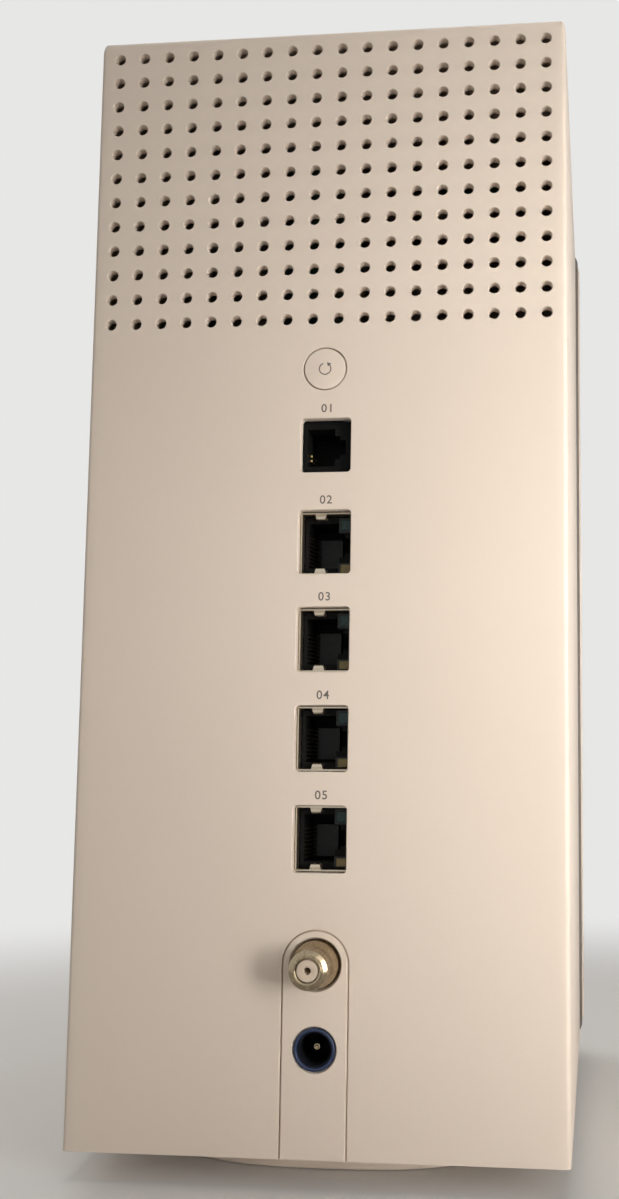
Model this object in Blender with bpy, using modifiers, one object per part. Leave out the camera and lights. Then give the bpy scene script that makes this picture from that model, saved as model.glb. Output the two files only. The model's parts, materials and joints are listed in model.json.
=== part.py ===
"""Upright broadband gateway: a tall plastic tower with its sockets in a column on the back.

Run with: blender --background --python part.py

Frame: origin in the middle of the foot's underside, +Z up, the port panel facing -Y, +X to the
right for someone who looks at the ports.  All lengths are metres.

Outside: a rear housing with the port panel and its vents, a front cover behind a seam trim, a
bottom cover, a foot and a rubber pad.  Inside: an upright main board on a frame, with the sockets
along its rear edge, a heatsink, shield cans, antennas and a small light board.
"""

import math

import bmesh
import bpy
from mathutils import Matrix, Vector

MM = 0.001

# ---- clearances ------------------------------------------------------------------------------
GAP = 0.3 * MM  # between two pieces that touch, and all round the button and the tongue
SCREW_CLEAR = 0.3 * MM  # radial, round a screw's shank
HEAD_CLEAR = 0.4 * MM  # radial, round a screw's head
OVERLAP = 0.2 * MM  # how far a boss reaches into the wall that it grows from

# ---- body ------------------------------------------------------------------------------------
PANEL_W = 125.0 * MM  # port panel, side to side
BODY_H = 290.0 * MM  # housing, bottom edge to top
HOUSING_D = 142.0 * MM  # port panel to the seam
TRIM_D = 2.0 * MM  # seam trim, front to back
COVER_D = 18.0 * MM  # front cover, seam to front
SIDE_FLARE = 5.0 * MM  # how much farther out each side is at the seam than at the panel
COVER_PROUD = 1.5 * MM  # front cover stands this far outside the housing
TRIM_INSET = 0.8 * MM  # seam trim lies this far inside the housing's skin
WALL = 2.5 * MM
LIP_D = 6.0 * MM  # front cover's lip, how far it reaches into the housing
LIP_WALL = 2.0 * MM
TOP_FILLET = 3.0 * MM
EDGE_FILLET = 1.2 * MM
COVER_FILLET = 9.0 * MM  # round of the front cover's front edges

# ---- foot ------------------------------------------------------------------------------------
FOOT_H = 7.0 * MM  # floor to the housing's bottom edge
FOOT_W = PANEL_W - 21.0 * MM
FOOT_D = HOUSING_D - 10.0 * MM
FOOT_EXPONENT = 3.0  # of the superellipse that the foot follows
FOOT_WALL = 3.0 * MM
FOOT_FLOOR = 1.6 * MM
FOOT_BEVEL = 0.8 * MM
PAD_T = 1.0 * MM
PAD_INSET = 5.0 * MM
FOOT_BOSS_R = 5.0 * MM
BASE_SCREW_X = FOOT_W / 2 - 18.0 * MM
BASE_SCREW_Y = FOOT_D / 3

# ---- bottom cover ----------------------------------------------------------------------------
BOTTOM_T = 2.5 * MM
BOTTOM_BOSS_R = 3.6 * MM
BOTTOM_BOSS_H = 8.0 * MM
INTAKE_COUNT = 9
INTAKE_PITCH = 12.0 * MM
INTAKE_L = 8.0 * MM
INTAKE_W = 3.5 * MM
INTAKE_MARGIN = 2.2 * MM  # from the cover's side edge to a slot

# ---- vents -----------------------------------------------------------------------------------
VENT_COLUMNS = 18
VENT_ROWS = 12
VENT_COLUMN_PITCH = 0.054 * PANEL_W
VENT_ROW_PITCH = 0.02328 * BODY_H
VENT_D = 2.9 * MM
VENT_TOP = 5.1 * MM  # top edge to the first row's centres

# ---- port column: heights are shares of the housing's height, down from its top ---------------
COLUMN_X = 0.2 * MM  # button, tongue, coax and power socket
JACK_X = 0.7 * MM  # phone and network sockets
BUTTON_DOWN = 0.32 * BODY_H
PHONE_DOWN = 0.3897 * BODY_H
NETWORK_DOWN = 0.4766 * BODY_H
NETWORK_PITCH = 0.0862 * BODY_H
NETWORK_COUNT = 4
COAX_DOWN = 0.8403 * BODY_H
POWER_DOWN = 0.9107 * BODY_H

# ---- button and its switch -------------------------------------------------------------------
BUTTON_D = 10.8 * MM
BUTTON_TRAVEL = 0.8 * MM
BUTTON_FLANGE = 1.3 * MM  # radial, beyond the button's hole
BUTTON_FLANGE_T = 1.0 * MM
BUTTON_STEM_D = 4.0 * MM
BUTTON_CHAMFER = 0.3 * MM
SWITCH_W = 7.0 * MM
SWITCH_D = 5.0 * MM
SWITCH_H = 9.6 * MM
SWITCH_SETBACK = 9.0 * MM  # outer skin to the switch's front
PLUNGER_D = 2.9 * MM
PLUNGER_OUT = 1.5 * MM  # how far the plunger stands out of the switch
PLUNGER_IN = 1.8 * MM

# ---- network sockets: width lies along Z, height along X --------------------------------------
NETWORK_W = 16.6 * MM  # window in the panel
NETWORK_H = 13.6 * MM
WINDOW_R = 1.0 * MM
SHIELD_W = 16.2 * MM
SHIELD_H = 13.4 * MM
SHIELD_L = 21.0 * MM
SHIELD_T = 0.4 * MM
SHIELD_TAB_W = 2.8 * MM
SHIELD_TAB_L = 3.2 * MM
SHIELD_TAB_RISE = 1.0 * MM
SHIELD_TAB_X = -1.5 * MM  # from the socket's centre
JACK_SETBACK = 2.7 * MM  # shield's front edge to the black insert
PLUG_W = 11.8 * MM
PLUG_H = 8.0 * MM
PLUG_L = 12.5 * MM
LATCH_WIDE = 6.2 * MM
LATCH_NARROW = 4.0 * MM
LATCH_STEP = 1.4 * MM
JACK_FLOOR = 0.9 * MM  # insert's wall on the contacts' side

# ---- phone socket ----------------------------------------------------------------------------
PHONE_W = 14.2 * MM
PHONE_H = 13.0 * MM
PHONE_L = 16.0 * MM
PHONE_PLUG_W = 9.9 * MM
PHONE_PLUG_H = 7.2 * MM
PHONE_PLUG_L = 11.0 * MM
CONTACT_W = 0.5 * MM
CONTACT_L = 7.0 * MM
CONTACT_PITCH = 1.2 * MM
CONTACT_FIRST = -1.5 * MM  # first contact below the socket's middle

# ---- tongue, coax connector and power socket --------------------------------------------------
TONGUE_W = 16.2 * MM
TONGUE_FLANGE = 2.0 * MM  # hidden rim beyond the slot
TONGUE_FLANGE_T = 1.5 * MM
COAX_HOLE_D = 12.9 * MM
COAX_COLLAR_D = 11.8 * MM
COAX_COLLAR_OUT = 1.2 * MM
COAX_THREAD_D = 9.5 * MM
COAX_TIP_D = 8.2 * MM
COAX_OUT = 10.0 * MM
COAX_CHAMFER = 0.8 * MM
COAX_BORE_D = 6.6 * MM
COAX_BORE_L = 9.0 * MM
COAX_BASE_W = 12.0 * MM
COAX_BASE_L = 9.0 * MM
COAX_BASE_SETBACK = 7.0 * MM
COAX_EYE_D = 1.6 * MM
COAX_EYE_L = 5.4 * MM
POWER_RING_D = 10.4 * MM
POWER_BORE_D = 8.3 * MM
POWER_BODY_W = 10.8 * MM
POWER_BODY_L = 14.0 * MM
POWER_BORE_L = 9.0 * MM
POWER_PIN_D = 2.0 * MM
POWER_PIN_SETBACK = 2.0 * MM
POWER_PIN_SEAT = 2.5 * MM
POWER_PIN_CHAMFER = 0.3 * MM

# ---- main board and frame --------------------------------------------------------------------
BOARD_T = 1.6 * MM
BOARD_X = -6.5 * MM  # the board's right face, which carries the sockets
BOARD_SETBACK = 7.0 * MM  # outer skin to the board's rear edge
BOARD_L = HOUSING_D - 20.0 * MM
BOARD_BOTTOM = FOOT_H + 9.0 * MM
BOARD_H = BODY_H - 32.0 * MM
BOARD_HOLE_IN = 5.5 * MM  # corner holes, in from the board's edges
FRAME_T = 2.5 * MM
FRAME_X = -14.0 * MM  # the frame plate's right face
FRAME_MARGIN = 3.0 * MM  # beyond the board
FRAME_RIM = 16.0 * MM
FRAME_RIB = 10.0 * MM
FRAME_BOSS_R = 3.6 * MM
FRAME_FLANGE_W = 26.0 * MM
FRAME_FLANGE_L = 2 * (BASE_SCREW_Y - 9.0 * MM)  # between the base screws' bosses

# ---- screws ----------------------------------------------------------------------------------
SCREW_D = 3.0 * MM
SCREW_HEAD_D = 5.6 * MM
SCREW_HEAD_T = 1.8 * MM
SCREW_SOCKET_D = 2.4 * MM
SCREW_SOCKET_T = 1.0 * MM
BOARD_SCREW_L = 6.5 * MM
SINK_SCREW_L = 6.5 * MM
BASE_SCREW_L = 12.0 * MM

# ---- heat path -------------------------------------------------------------------------------
CHIP_W = 22.0 * MM
CHIP_T = 1.5 * MM
PAD_COND_T = 1.0 * MM
SINK_L = BOARD_L - 38.0 * MM  # front to back
SINK_H = 0.45 * BODY_H
SINK_MARGIN = 2.0 * MM  # in from the board's front edge
SINK_BASE_T = 4.0 * MM
SINK_FIN_H = 24.0 * MM
SINK_FIN_T = 1.6 * MM
SINK_FINS = 11
SINK_Z = FOOT_H + 0.52 * BODY_H
SINK_LEG_R = 3.4 * MM
SINK_LEG_IN = 7.0 * MM

# ---- other parts on the board ----------------------------------------------------------------
CAN_T = 0.4 * MM
CAN_H = 3.0 * MM
RADIO_CAN = (46.0 * MM, 26.0 * MM)  # along Y, along Z
TUNER_CAN = (40.0 * MM, 34.0 * MM)
RADIO_CAN_Z = FOOT_H + 0.831 * BODY_H
TUNER_CAN_Z = FOOT_H + 0.169 * BODY_H
MEMORY_SIZE = (11.0 * MM, 8.0 * MM, 1.1 * MM)  # along Y, Z and X
MEMORY_PITCH = 0.13 * BOARD_L

# ---- antennas --------------------------------------------------------------------------------
ANTENNA_T = 0.8 * MM
ANTENNA_W = 14.0 * MM
ANTENNA_L = 58.0 * MM
ANTENNA_Z = FOOT_H + 0.79 * BODY_H
ANTENNA_AHEAD = 20.0 * MM  # side antennas, ahead of the heatsink's middle
LEAD_R = 0.6 * MM
LEAD_CLEAR = 0.4 * MM
LEAD_PITCH = 6.0 * MM  # between the leads' starts on the radio can
LEAD_RISE = 8.0 * MM  # how high a lead stands up off the can before it turns
LEAD_DROP = 12.0 * MM  # from the top wall down to the side leads' run
TOP_ANTENNA_X = 18.0 * MM  # its left end
TOP_ANTENNA_L = 29.0 * MM

# ---- status light ----------------------------------------------------------------------------
LIGHT_Z = FOOT_H + 0.88 * BODY_H
LIGHT_W = 22.0 * MM
LIGHT_H = 2.4 * MM
LIGHT_FLANGE = 1.5 * MM
LIGHT_FLANGE_T = 1.2 * MM
LIGHT_BOARD_W = 40.0 * MM
LIGHT_BOARD_H = 12.0 * MM
LIGHT_BOARD_T = 1.2 * MM
LIGHT_LED_GAP = 2.0 * MM
LIGHT_BOSS_R = 2.5 * MM
LIGHT_BOSS_IN = 4.0 * MM
LIGHT_LEAD_DROP = 6.0 * MM

# ---- how round the round pieces are -----------------------------------------------------------
VENT_SIDES = 8
FINE_SIDES = 32
BOSS_SIDES = 12

# ---- places worked out from the sizes ---------------------------------------------------------
TOTAL_D = HOUSING_D + TRIM_D + COVER_D
REAR_Y = -TOTAL_D / 2
SEAM_Y = REAR_Y + HOUSING_D
COVER_Y = SEAM_Y + TRIM_D
FRONT_Y = COVER_Y + COVER_D
INNER_Y = REAR_Y + WALL
TOP_Z = FOOT_H + BODY_H
BUTTON_Z = TOP_Z - BUTTON_DOWN
PHONE_Z = TOP_Z - PHONE_DOWN
COAX_Z = TOP_Z - COAX_DOWN
POWER_Z = TOP_Z - POWER_DOWN
NETWORK_Z = [TOP_Z - NETWORK_DOWN - i * NETWORK_PITCH for i in range(NETWORK_COUNT)]
JACK_FRONT_Y = INNER_Y + GAP
POWER_RING_L = WALL + GAP + TONGUE_FLANGE_T
BOARD_Y0 = REAR_Y + BOARD_SETBACK
BOARD_Y1 = BOARD_Y0 + BOARD_L
BOARD_Z1 = BOARD_BOTTOM + BOARD_H
SINK_Y = BOARD_Y1 - SINK_MARGIN - SINK_L / 2
ANTENNA_Y = SINK_Y + ANTENNA_AHEAD
BOTTOM_TOP_Z = FOOT_H + BOTTOM_T
FLARE_ANGLE = math.atan2(SIDE_FLARE, HOUSING_D)
BOARD_HOLES = [
    (y, z)
    for y in (BOARD_Y0 + BOARD_HOLE_IN, BOARD_Y1 - BOARD_HOLE_IN)
    for z in (BOARD_BOTTOM + BOARD_HOLE_IN, BOARD_Z1 - BOARD_HOLE_IN)
]
SINK_LEGS = [
    (SINK_Y + sy * (SINK_L / 2 - SINK_LEG_IN), SINK_Z + sz * (SINK_H / 2 - SINK_LEG_IN))
    for sy in (-1, 1)
    for sz in (-1, 1)
]
BASE_SCREWS = [(sx * BASE_SCREW_X, sy * BASE_SCREW_Y) for sx in (-1, 1) for sy in (-1, 1)]


def body_half_width(y):
    """Half of the housing's width at depth y: the sides spread evenly from panel to seam."""
    return PANEL_W / 2 + SIDE_FLARE * (y - REAR_Y) / HOUSING_D


# ---- materials ---------------------------------------------------------------------------------
FINISHES = {
    "shell_plastic": ((0.80, 0.70, 0.60), 0.55, 0.0),
    "trim_plastic": ((0.16, 0.14, 0.12), 0.6, 0.0),
    "black_plastic": ((0.012, 0.012, 0.013), 0.45, 0.0),
    "grey_plastic": ((0.22, 0.23, 0.24), 0.6, 0.0),
    "blue_plastic": ((0.02, 0.06, 0.20), 0.4, 0.0),
    "rubber": ((0.03, 0.03, 0.03), 0.85, 0.0),
    "nickel": ((0.72, 0.68, 0.60), 0.25, 1.0),
    "tin_plate": ((0.75, 0.74, 0.70), 0.3, 1.0),
    "gold": ((0.95, 0.68, 0.25), 0.25, 1.0),
    "steel": ((0.55, 0.55, 0.56), 0.35, 1.0),
    "aluminium": ((0.70, 0.71, 0.72), 0.4, 1.0),
    "insulator": ((0.72, 0.66, 0.55), 0.5, 0.0),
    "board": ((0.02, 0.12, 0.06), 0.5, 0.0),
    "chip": ((0.02, 0.02, 0.022), 0.6, 0.0),
    "heat_pad": ((0.35, 0.40, 0.52), 0.9, 0.0),
    "lead_jacket": ((0.05, 0.05, 0.05), 0.5, 0.0),
    "light_plastic": ((0.85, 0.87, 0.90), 0.3, 0.0),
}


def finish(name):
    """The named material, made on its first use."""
    if name in bpy.data.materials:
        return bpy.data.materials[name]
    colour, roughness, metallic = FINISHES[name]
    material = bpy.data.materials.new(name)
    material.use_nodes = True
    shader = material.node_tree.nodes["Principled BSDF"]
    shader.inputs["Base Color"].default_value = (*colour, 1.0)
    shader.inputs["Roughness"].default_value = roughness
    shader.inputs["Metallic"].default_value = metallic
    return material


# ---- modelling helpers -------------------------------------------------------------------------
for old in list(bpy.data.objects):
    bpy.data.objects.remove(old, do_unlink=True)

PARTS = bpy.data.collections.new("broadband_gateway")
CUTTERS = bpy.data.collections.new("cutters")
bpy.context.scene.collection.children.link(PARTS)
bpy.context.scene.collection.children.link(CUTTERS)


def add_object(name, data, look=None):
    """A new object: a part when it has a look, a hidden cutter when it has none."""
    thing = bpy.data.objects.new(name, data)
    if look is None:
        CUTTERS.objects.link(thing)
        thing.hide_render = True
        thing.display_type = "WIRE"
        return thing
    PARTS.objects.link(thing)
    data.materials.append(finish(look))
    return thing


def mesh_object(name, bm, look=None, smooth=False):
    """An object from a bmesh, which is freed."""
    bmesh.ops.recalc_face_normals(bm, faces=bm.faces)
    mesh = bpy.data.meshes.new(name)
    bm.to_mesh(mesh)
    bm.free()
    if smooth:
        mesh.shade_smooth()
        mesh.set_sharp_from_angle(angle=math.radians(35))
    return add_object(name, mesh, look)


def box(name, low, high, look=None):
    """A box between two corners, with its origin in its middle."""
    low, high = Vector(low), Vector(high)
    bm = bmesh.new()
    bmesh.ops.create_cube(bm, size=1.0)
    bmesh.ops.scale(bm, vec=high - low, verts=bm.verts)
    thing = mesh_object(name, bm, look)
    thing.location = (low + high) / 2
    return thing


def cylinder(name, radius, start, end, look=None, sides=FINE_SIDES):
    """A round bar from start to end, which lie along one axis."""
    start, end = Vector(start), Vector(end)
    run = end - start
    bm = bmesh.new()
    bmesh.ops.create_cone(
        bm, cap_ends=True, segments=sides, radius1=radius, radius2=radius, depth=run.length
    )
    thing = mesh_object(name, bm, look, smooth=True)
    thing.location = (start + end) / 2
    thing.rotation_euler = run.to_track_quat("Z", "Y").to_euler()
    return thing


def turned(name, profile, look, place, sides=FINE_SIDES):
    """A turned piece that faces -Y: the profile's points are (radius, distance out of the panel)."""
    bm = bmesh.new()
    corners = [bm.verts.new((r, 0.0, out)) for r, out in profile]
    for a, b in zip(corners, corners[1:]):
        bm.edges.new((a, b))
    if profile[0][0] > 0.0:
        bm.edges.new((corners[-1], corners[0]))
    mesh = bpy.data.meshes.new(name)
    bm.to_mesh(mesh)
    bm.free()
    thing = add_object(name, mesh, look)
    screw = thing.modifiers.new("turn", "SCREW")
    screw.steps = sides
    screw.render_steps = sides
    screw.use_merge_vertices = True
    screw.merge_threshold = 0.00001
    screw.use_smooth_shade = True
    thing.location = place
    thing.rotation_euler = (math.pi / 2, 0.0, 0.0)
    return thing


def slab(name, outline, thickness, look=None, facing_y=False):
    """A flat outline with a thickness: it lies in XY, or stands in XZ when it faces -Y."""
    curve = bpy.data.curves.new(name + "_outline", "CURVE")
    curve.dimensions = "2D"
    curve.fill_mode = "BOTH"
    curve.extrude = thickness / 2
    spline = curve.splines.new("POLY")
    spline.points.add(len(outline) - 1)
    for point, (x, y) in zip(spline.points, outline):
        point.co = (x, y, 0.0, 1.0)
    spline.use_cyclic_u = True
    drawn = bpy.data.objects.new(name + "_outline", curve)
    PARTS.objects.link(drawn)
    bpy.context.view_layer.update()
    mesh = bpy.data.meshes.new_from_object(drawn.evaluated_get(bpy.context.evaluated_depsgraph_get()))
    bpy.data.objects.remove(drawn, do_unlink=True)
    bm = bmesh.new()
    bm.from_mesh(mesh)
    bmesh.ops.remove_doubles(bm, verts=bm.verts, dist=0.00001)
    thing = mesh_object(name, bm, look)
    if facing_y:
        thing.rotation_euler = (math.pi / 2, 0.0, 0.0)
    return thing


def boolean(thing, other, operation):
    """Cut the other piece from this one, or join it on, with the exact solver."""
    step = thing.modifiers.new(operation.lower() + "_" + other.name, "BOOLEAN")
    step.operation = operation
    step.solver = "EXACT"
    step.object = other


def cut(thing, *cutters):
    """Take each cutter out of the piece."""
    for cutter in cutters:
        boolean(thing, cutter, "DIFFERENCE")
    return thing


def join(thing, *others):
    """Join helper solids, such as bosses, onto the piece."""
    for other in others:
        boolean(thing, other, "UNION")
    return thing


def soften(thing, width, segments=2, angle=30.0):
    """Round the piece's edges."""
    bevel = thing.modifiers.new("edges", "BEVEL")
    bevel.width = width
    bevel.segments = segments
    bevel.limit_method = "ANGLE"
    bevel.angle_limit = math.radians(angle)
    return thing


def arc(cx, cy, radius, start, stop, steps):
    """Points on an arc, angles in degrees."""
    turns = [math.radians(start + (stop - start) * i / steps) for i in range(steps + 1)]
    return [(cx + radius * math.cos(t), cy + radius * math.sin(t)) for t in turns]


def rounded_rectangle(width, height, radius, steps=3):
    """Outline of a rectangle with round corners, about its middle."""
    x, y = width / 2 - radius, height / 2 - radius
    corners = ((x, y, 0.0), (-x, y, 90.0), (-x, -y, 180.0), (x, -y, 270.0))
    return [p for cx, cy, a in corners for p in arc(cx, cy, radius, a, a + 90.0, steps)]


def superellipse(width, depth, exponent, count=48):
    """Outline with |x/a|^n + |y/b|^n = 1, its points spread evenly by angle."""
    a, b = width / 2, depth / 2
    outline = []
    for i in range(count):
        turn = 2 * math.pi * (i + 0.5) / count
        c, s = math.cos(turn), math.sin(turn)
        reach = (abs(c / a) ** exponent + abs(s / b) ** exponent) ** (-1 / exponent)
        outline.append((reach * c, reach * s))
    return outline


def arched_outline(width, drop):
    """Outline with a half-round top about the origin and straight sides down by drop."""
    return arc(0.0, 0.0, width / 2, 0.0, 180.0, 14) + [(-width / 2, -drop), (width / 2, -drop)]


def flared_block(name, y0, y1, z0, z1, inset=0.0, look=None):
    """A block that follows the housing's spreading sides, each side drawn in by inset."""
    bm = bmesh.new()
    bmesh.ops.create_cube(bm, size=1.0)
    for corner in bm.verts:
        y = y1 if corner.co.y > 0 else y0
        side = math.copysign(1.0, corner.co.x)
        z = z1 if corner.co.z > 0 else z0
        corner.co = (side * (body_half_width(y) - inset), y, z)
    return mesh_object(name, bm, look)


def weighted_bevel(thing, sizes, segments=3):
    """Round chosen edges, each by its own radius: sizes maps a test on an edge's middle to it."""
    largest = max(radius for _, radius in sizes)
    mesh = thing.data
    weights = mesh.attributes.new("bevel_weight_edge", "FLOAT", "EDGE")
    for edge in mesh.edges:
        a, b = (mesh.vertices[v].co for v in edge.vertices)
        for test, radius in sizes:
            if test((a + b) / 2, b - a):
                weights.data[edge.index].value = radius / largest
    bevel = thing.modifiers.new("rounded_edges", "BEVEL")
    bevel.limit_method = "WEIGHT"
    bevel.width = largest
    bevel.segments = segments
    return thing


def wire(name, stops, radius, look):
    """A round wire along a smooth curve through its stops."""
    points = smooth_path([Vector(stop) for stop in stops])
    curve = bpy.data.curves.new(name, "CURVE")
    curve.dimensions = "3D"
    curve.bevel_depth = radius
    curve.bevel_resolution = 1
    curve.use_fill_caps = True
    spline = curve.splines.new("POLY")
    spline.points.add(len(points) - 1)
    for point, place in zip(spline.points, points):
        point.co = (*place, 1.0)
    return add_object(name, curve, look)


def smooth_path(stops, steps=4):
    """Points on the Catmull-Rom curve through the stops."""
    ends = [2 * stops[0] - stops[1]] + stops + [2 * stops[-1] - stops[-2]]
    path = []
    for a, b, c, d in zip(ends, ends[1:], ends[2:], ends[3:]):
        for i in range(steps):
            t = i / steps
            path.append(0.5 * (
                2 * b + (c - a) * t + (2 * a - 5 * b + 4 * c - d) * t ** 2
                + (3 * b - a - 3 * c + d) * t ** 3
            ))
    return path + [stops[-1]]


def socket_cavity(name, x0, z, y0, width, height, length):
    """Room for a latched plug: its body, then the two steps of the latch, as one cutter."""
    through = OVERLAP
    body = box(name, (x0, y0 - through, z - width / 2), (x0 + height, y0 + length, z + width / 2))
    top = x0 + height
    for step, latch_w in enumerate((LATCH_WIDE, LATCH_NARROW), start=1):
        latch = box(
            f"{name}_latch_{step}",
            (x0 + height / 2, y0 - through, z - latch_w / 2),
            (top + step * LATCH_STEP, y0 + length, z + latch_w / 2),
        )
        join(body, latch)
    return body


# ---- casing ------------------------------------------------------------------------------------
def vent_cutter():
    """All the round vents of the port panel, as one cutter."""
    bm = bmesh.new()
    upright = Matrix.Rotation(math.pi / 2, 4, "X")
    for row in range(VENT_ROWS):
        for column in range(VENT_COLUMNS):
            x = (column - (VENT_COLUMNS - 1) / 2) * VENT_COLUMN_PITCH
            z = TOP_Z - VENT_TOP - row * VENT_ROW_PITCH
            bmesh.ops.create_cone(
                bm, cap_ends=True, segments=VENT_SIDES, radius1=VENT_D / 2, radius2=VENT_D / 2,
                depth=3 * WALL, matrix=Matrix.Translation((x, REAR_Y + WALL / 2, z)) @ upright,
            )
    return mesh_object("vent_holes", bm)


def window_cutter(name, x, z, width, height):
    """A socket's window through the port panel."""
    cutter = slab(name, rounded_rectangle(width, height, WINDOW_R), 3 * WALL, facing_y=True)
    cutter.location = (x, REAR_Y + WALL / 2, z)
    return cutter


def make_rear_housing():
    """Port panel, sides and top in one moulding, open at the front and underneath."""
    housing = flared_block("rear_housing", REAR_Y, SEAM_Y, FOOT_H, TOP_Z, look="shell_plastic")
    weighted_bevel(housing, (
        (lambda mid, run: mid.y == REAR_Y and abs(run.z) > WALL, EDGE_FILLET),
        (lambda mid, run: abs(mid.y) < SEAM_Y and mid.z == TOP_Z and abs(run.y) > WALL, EDGE_FILLET),
        (lambda mid, run: mid.y == REAR_Y and mid.z == TOP_Z, TOP_FILLET),
    ))
    cavity = flared_block(
        "housing_cavity", INNER_Y, SEAM_Y + WALL, FOOT_H - WALL, TOP_Z - WALL, inset=WALL
    )
    slot = slab(
        "tongue_slot", arched_outline(TONGUE_W + 2 * GAP, COAX_Z - FOOT_H + WALL), 3 * WALL,
        facing_y=True,
    )
    slot.location = (COLUMN_X, REAR_Y + WALL / 2, COAX_Z)
    button_hole = cylinder(
        "button_hole", BUTTON_D / 2 + GAP,
        (COLUMN_X, REAR_Y - WALL, BUTTON_Z), (COLUMN_X, INNER_Y + WALL, BUTTON_Z),
    )
    cut(housing, cavity, slot, button_hole)
    cut(housing, window_cutter("phone_window", JACK_X, PHONE_Z, PHONE_H, PHONE_W))
    for number, z in enumerate(NETWORK_Z, start=1):
        cut(housing, window_cutter(f"network_window_{number}", JACK_X, z, NETWORK_H, NETWORK_W))
    cut(housing, vent_cutter())


def make_seam_trim():
    """Darker ring, set in, between the housing and the front cover."""
    trim = flared_block(
        "seam_trim", SEAM_Y + GAP, COVER_Y - GAP, FOOT_H + TRIM_INSET, TOP_Z - TRIM_INSET,
        inset=TRIM_INSET, look="trim_plastic",
    )
    inner = flared_block(
        "trim_opening", SEAM_Y - WALL, COVER_Y + WALL, FOOT_H + WALL, TOP_Z - WALL, inset=WALL
    )
    cut(trim, inner)


def make_front_cover():
    """Shallow round-edged lid with a lip that reaches into the housing."""
    half_w = body_half_width(COVER_Y) + COVER_PROUD
    low_z, high_z = FOOT_H, TOP_Z + COVER_PROUD
    cover = box("front_cover", (-half_w, COVER_Y, low_z), (half_w, FRONT_Y, high_z), "shell_plastic")
    weighted_bevel(cover, (
        (lambda mid, run: mid.y > COVER_D / 2 - WALL, COVER_FILLET),
        (lambda mid, run: mid.y < WALL and abs(run.y) > WALL, COVER_FILLET),
    ), segments=4)
    hollow = box(
        "cover_hollow", (-half_w + WALL, COVER_Y - WALL, low_z + WALL),
        (half_w - WALL, FRONT_Y - WALL, high_z - WALL),
    )
    weighted_bevel(hollow, (
        (lambda mid, run: mid.y > COVER_D / 2 - WALL, COVER_FILLET - WALL),
        (lambda mid, run: mid.y < WALL and abs(run.y) > WALL, COVER_FILLET - WALL),
    ), segments=4)
    lip_in = WALL + GAP
    rim = flared_block(
        "cover_lip", SEAM_Y - LIP_D, COVER_Y + WALL, BOTTOM_TOP_Z + GAP, TOP_Z - lip_in, inset=lip_in
    )
    rim_bore = flared_block(
        "lip_opening", SEAM_Y - 2 * LIP_D, COVER_Y + 2 * WALL, BOTTOM_TOP_Z + GAP + LIP_WALL,
        TOP_Z - lip_in - LIP_WALL, inset=lip_in + LIP_WALL,
    )
    web = flared_block("cover_web", COVER_Y, COVER_Y + LIP_WALL, low_z + WALL / 2, high_z - WALL / 2)
    light_slot = slab(
        "light_slot", rounded_rectangle(LIGHT_W + 2 * GAP, LIGHT_H + 2 * GAP, LIGHT_H / 2 + GAP),
        3 * WALL, facing_y=True,
    )
    light_slot.location = (0.0, FRONT_Y - WALL / 2, LIGHT_Z)
    cut(cover, hollow)
    join(cover, web, rim)
    cut(cover, rim_bore)
    for side in (-1, 1):
        x = side * (LIGHT_BOARD_W / 2 - LIGHT_BOSS_IN)
        boss = cylinder(
            f"light_boss_{side}", LIGHT_BOSS_R, (x, LIGHT_BOARD_Y1 + GAP, LIGHT_Z),
            (x, FRONT_Y - WALL + OVERLAP, LIGHT_Z), sides=BOSS_SIDES,
        )
        join(cover, boss)
    cut(cover, light_slot)


def make_bottom_cover():
    """Floor of the housing, with air slots along both sides and four screw bosses."""
    inset = WALL + GAP
    cover = flared_block(
        "bottom_cover", INNER_Y + GAP, SEAM_Y, FOOT_H, BOTTOM_TOP_Z, inset=inset, look="shell_plastic"
    )
    for x, y in BASE_SCREWS:
        post = cylinder(
            f"bottom_post_{x:.3f}_{y:.3f}", BOTTOM_BOSS_R, (x, y, FOOT_H + BOTTOM_T / 2),
            (x, y, BOTTOM_TOP_Z + BOTTOM_BOSS_H), sides=BOSS_SIDES,
        )
        join(cover, post)
    slots = bmesh.new()
    for side in (-1, 1):
        for i in range(INTAKE_COUNT):
            y = (i - (INTAKE_COUNT - 1) / 2) * INTAKE_PITCH
            x = side * (body_half_width(y - INTAKE_L / 2) - inset - INTAKE_MARGIN - INTAKE_W / 2)
            place = Matrix.Translation((x, y, FOOT_H)) @ Matrix.Diagonal(
                (INTAKE_W, INTAKE_L, 4 * BOTTOM_T, 1.0)
            )
            bmesh.ops.create_cube(slots, size=1.0, matrix=place)
    cut(cover, mesh_object("intake_slots", slots))
    for x, y in BASE_SCREWS:
        bore = cylinder(
            f"bottom_bore_{x:.3f}_{y:.3f}", SCREW_D / 2 + SCREW_CLEAR, (x, y, FOOT_H - WALL),
            (x, y, BOTTOM_TOP_Z + 2 * BOTTOM_BOSS_H), sides=BOSS_SIDES,
        )
        cut(cover, bore)


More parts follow.
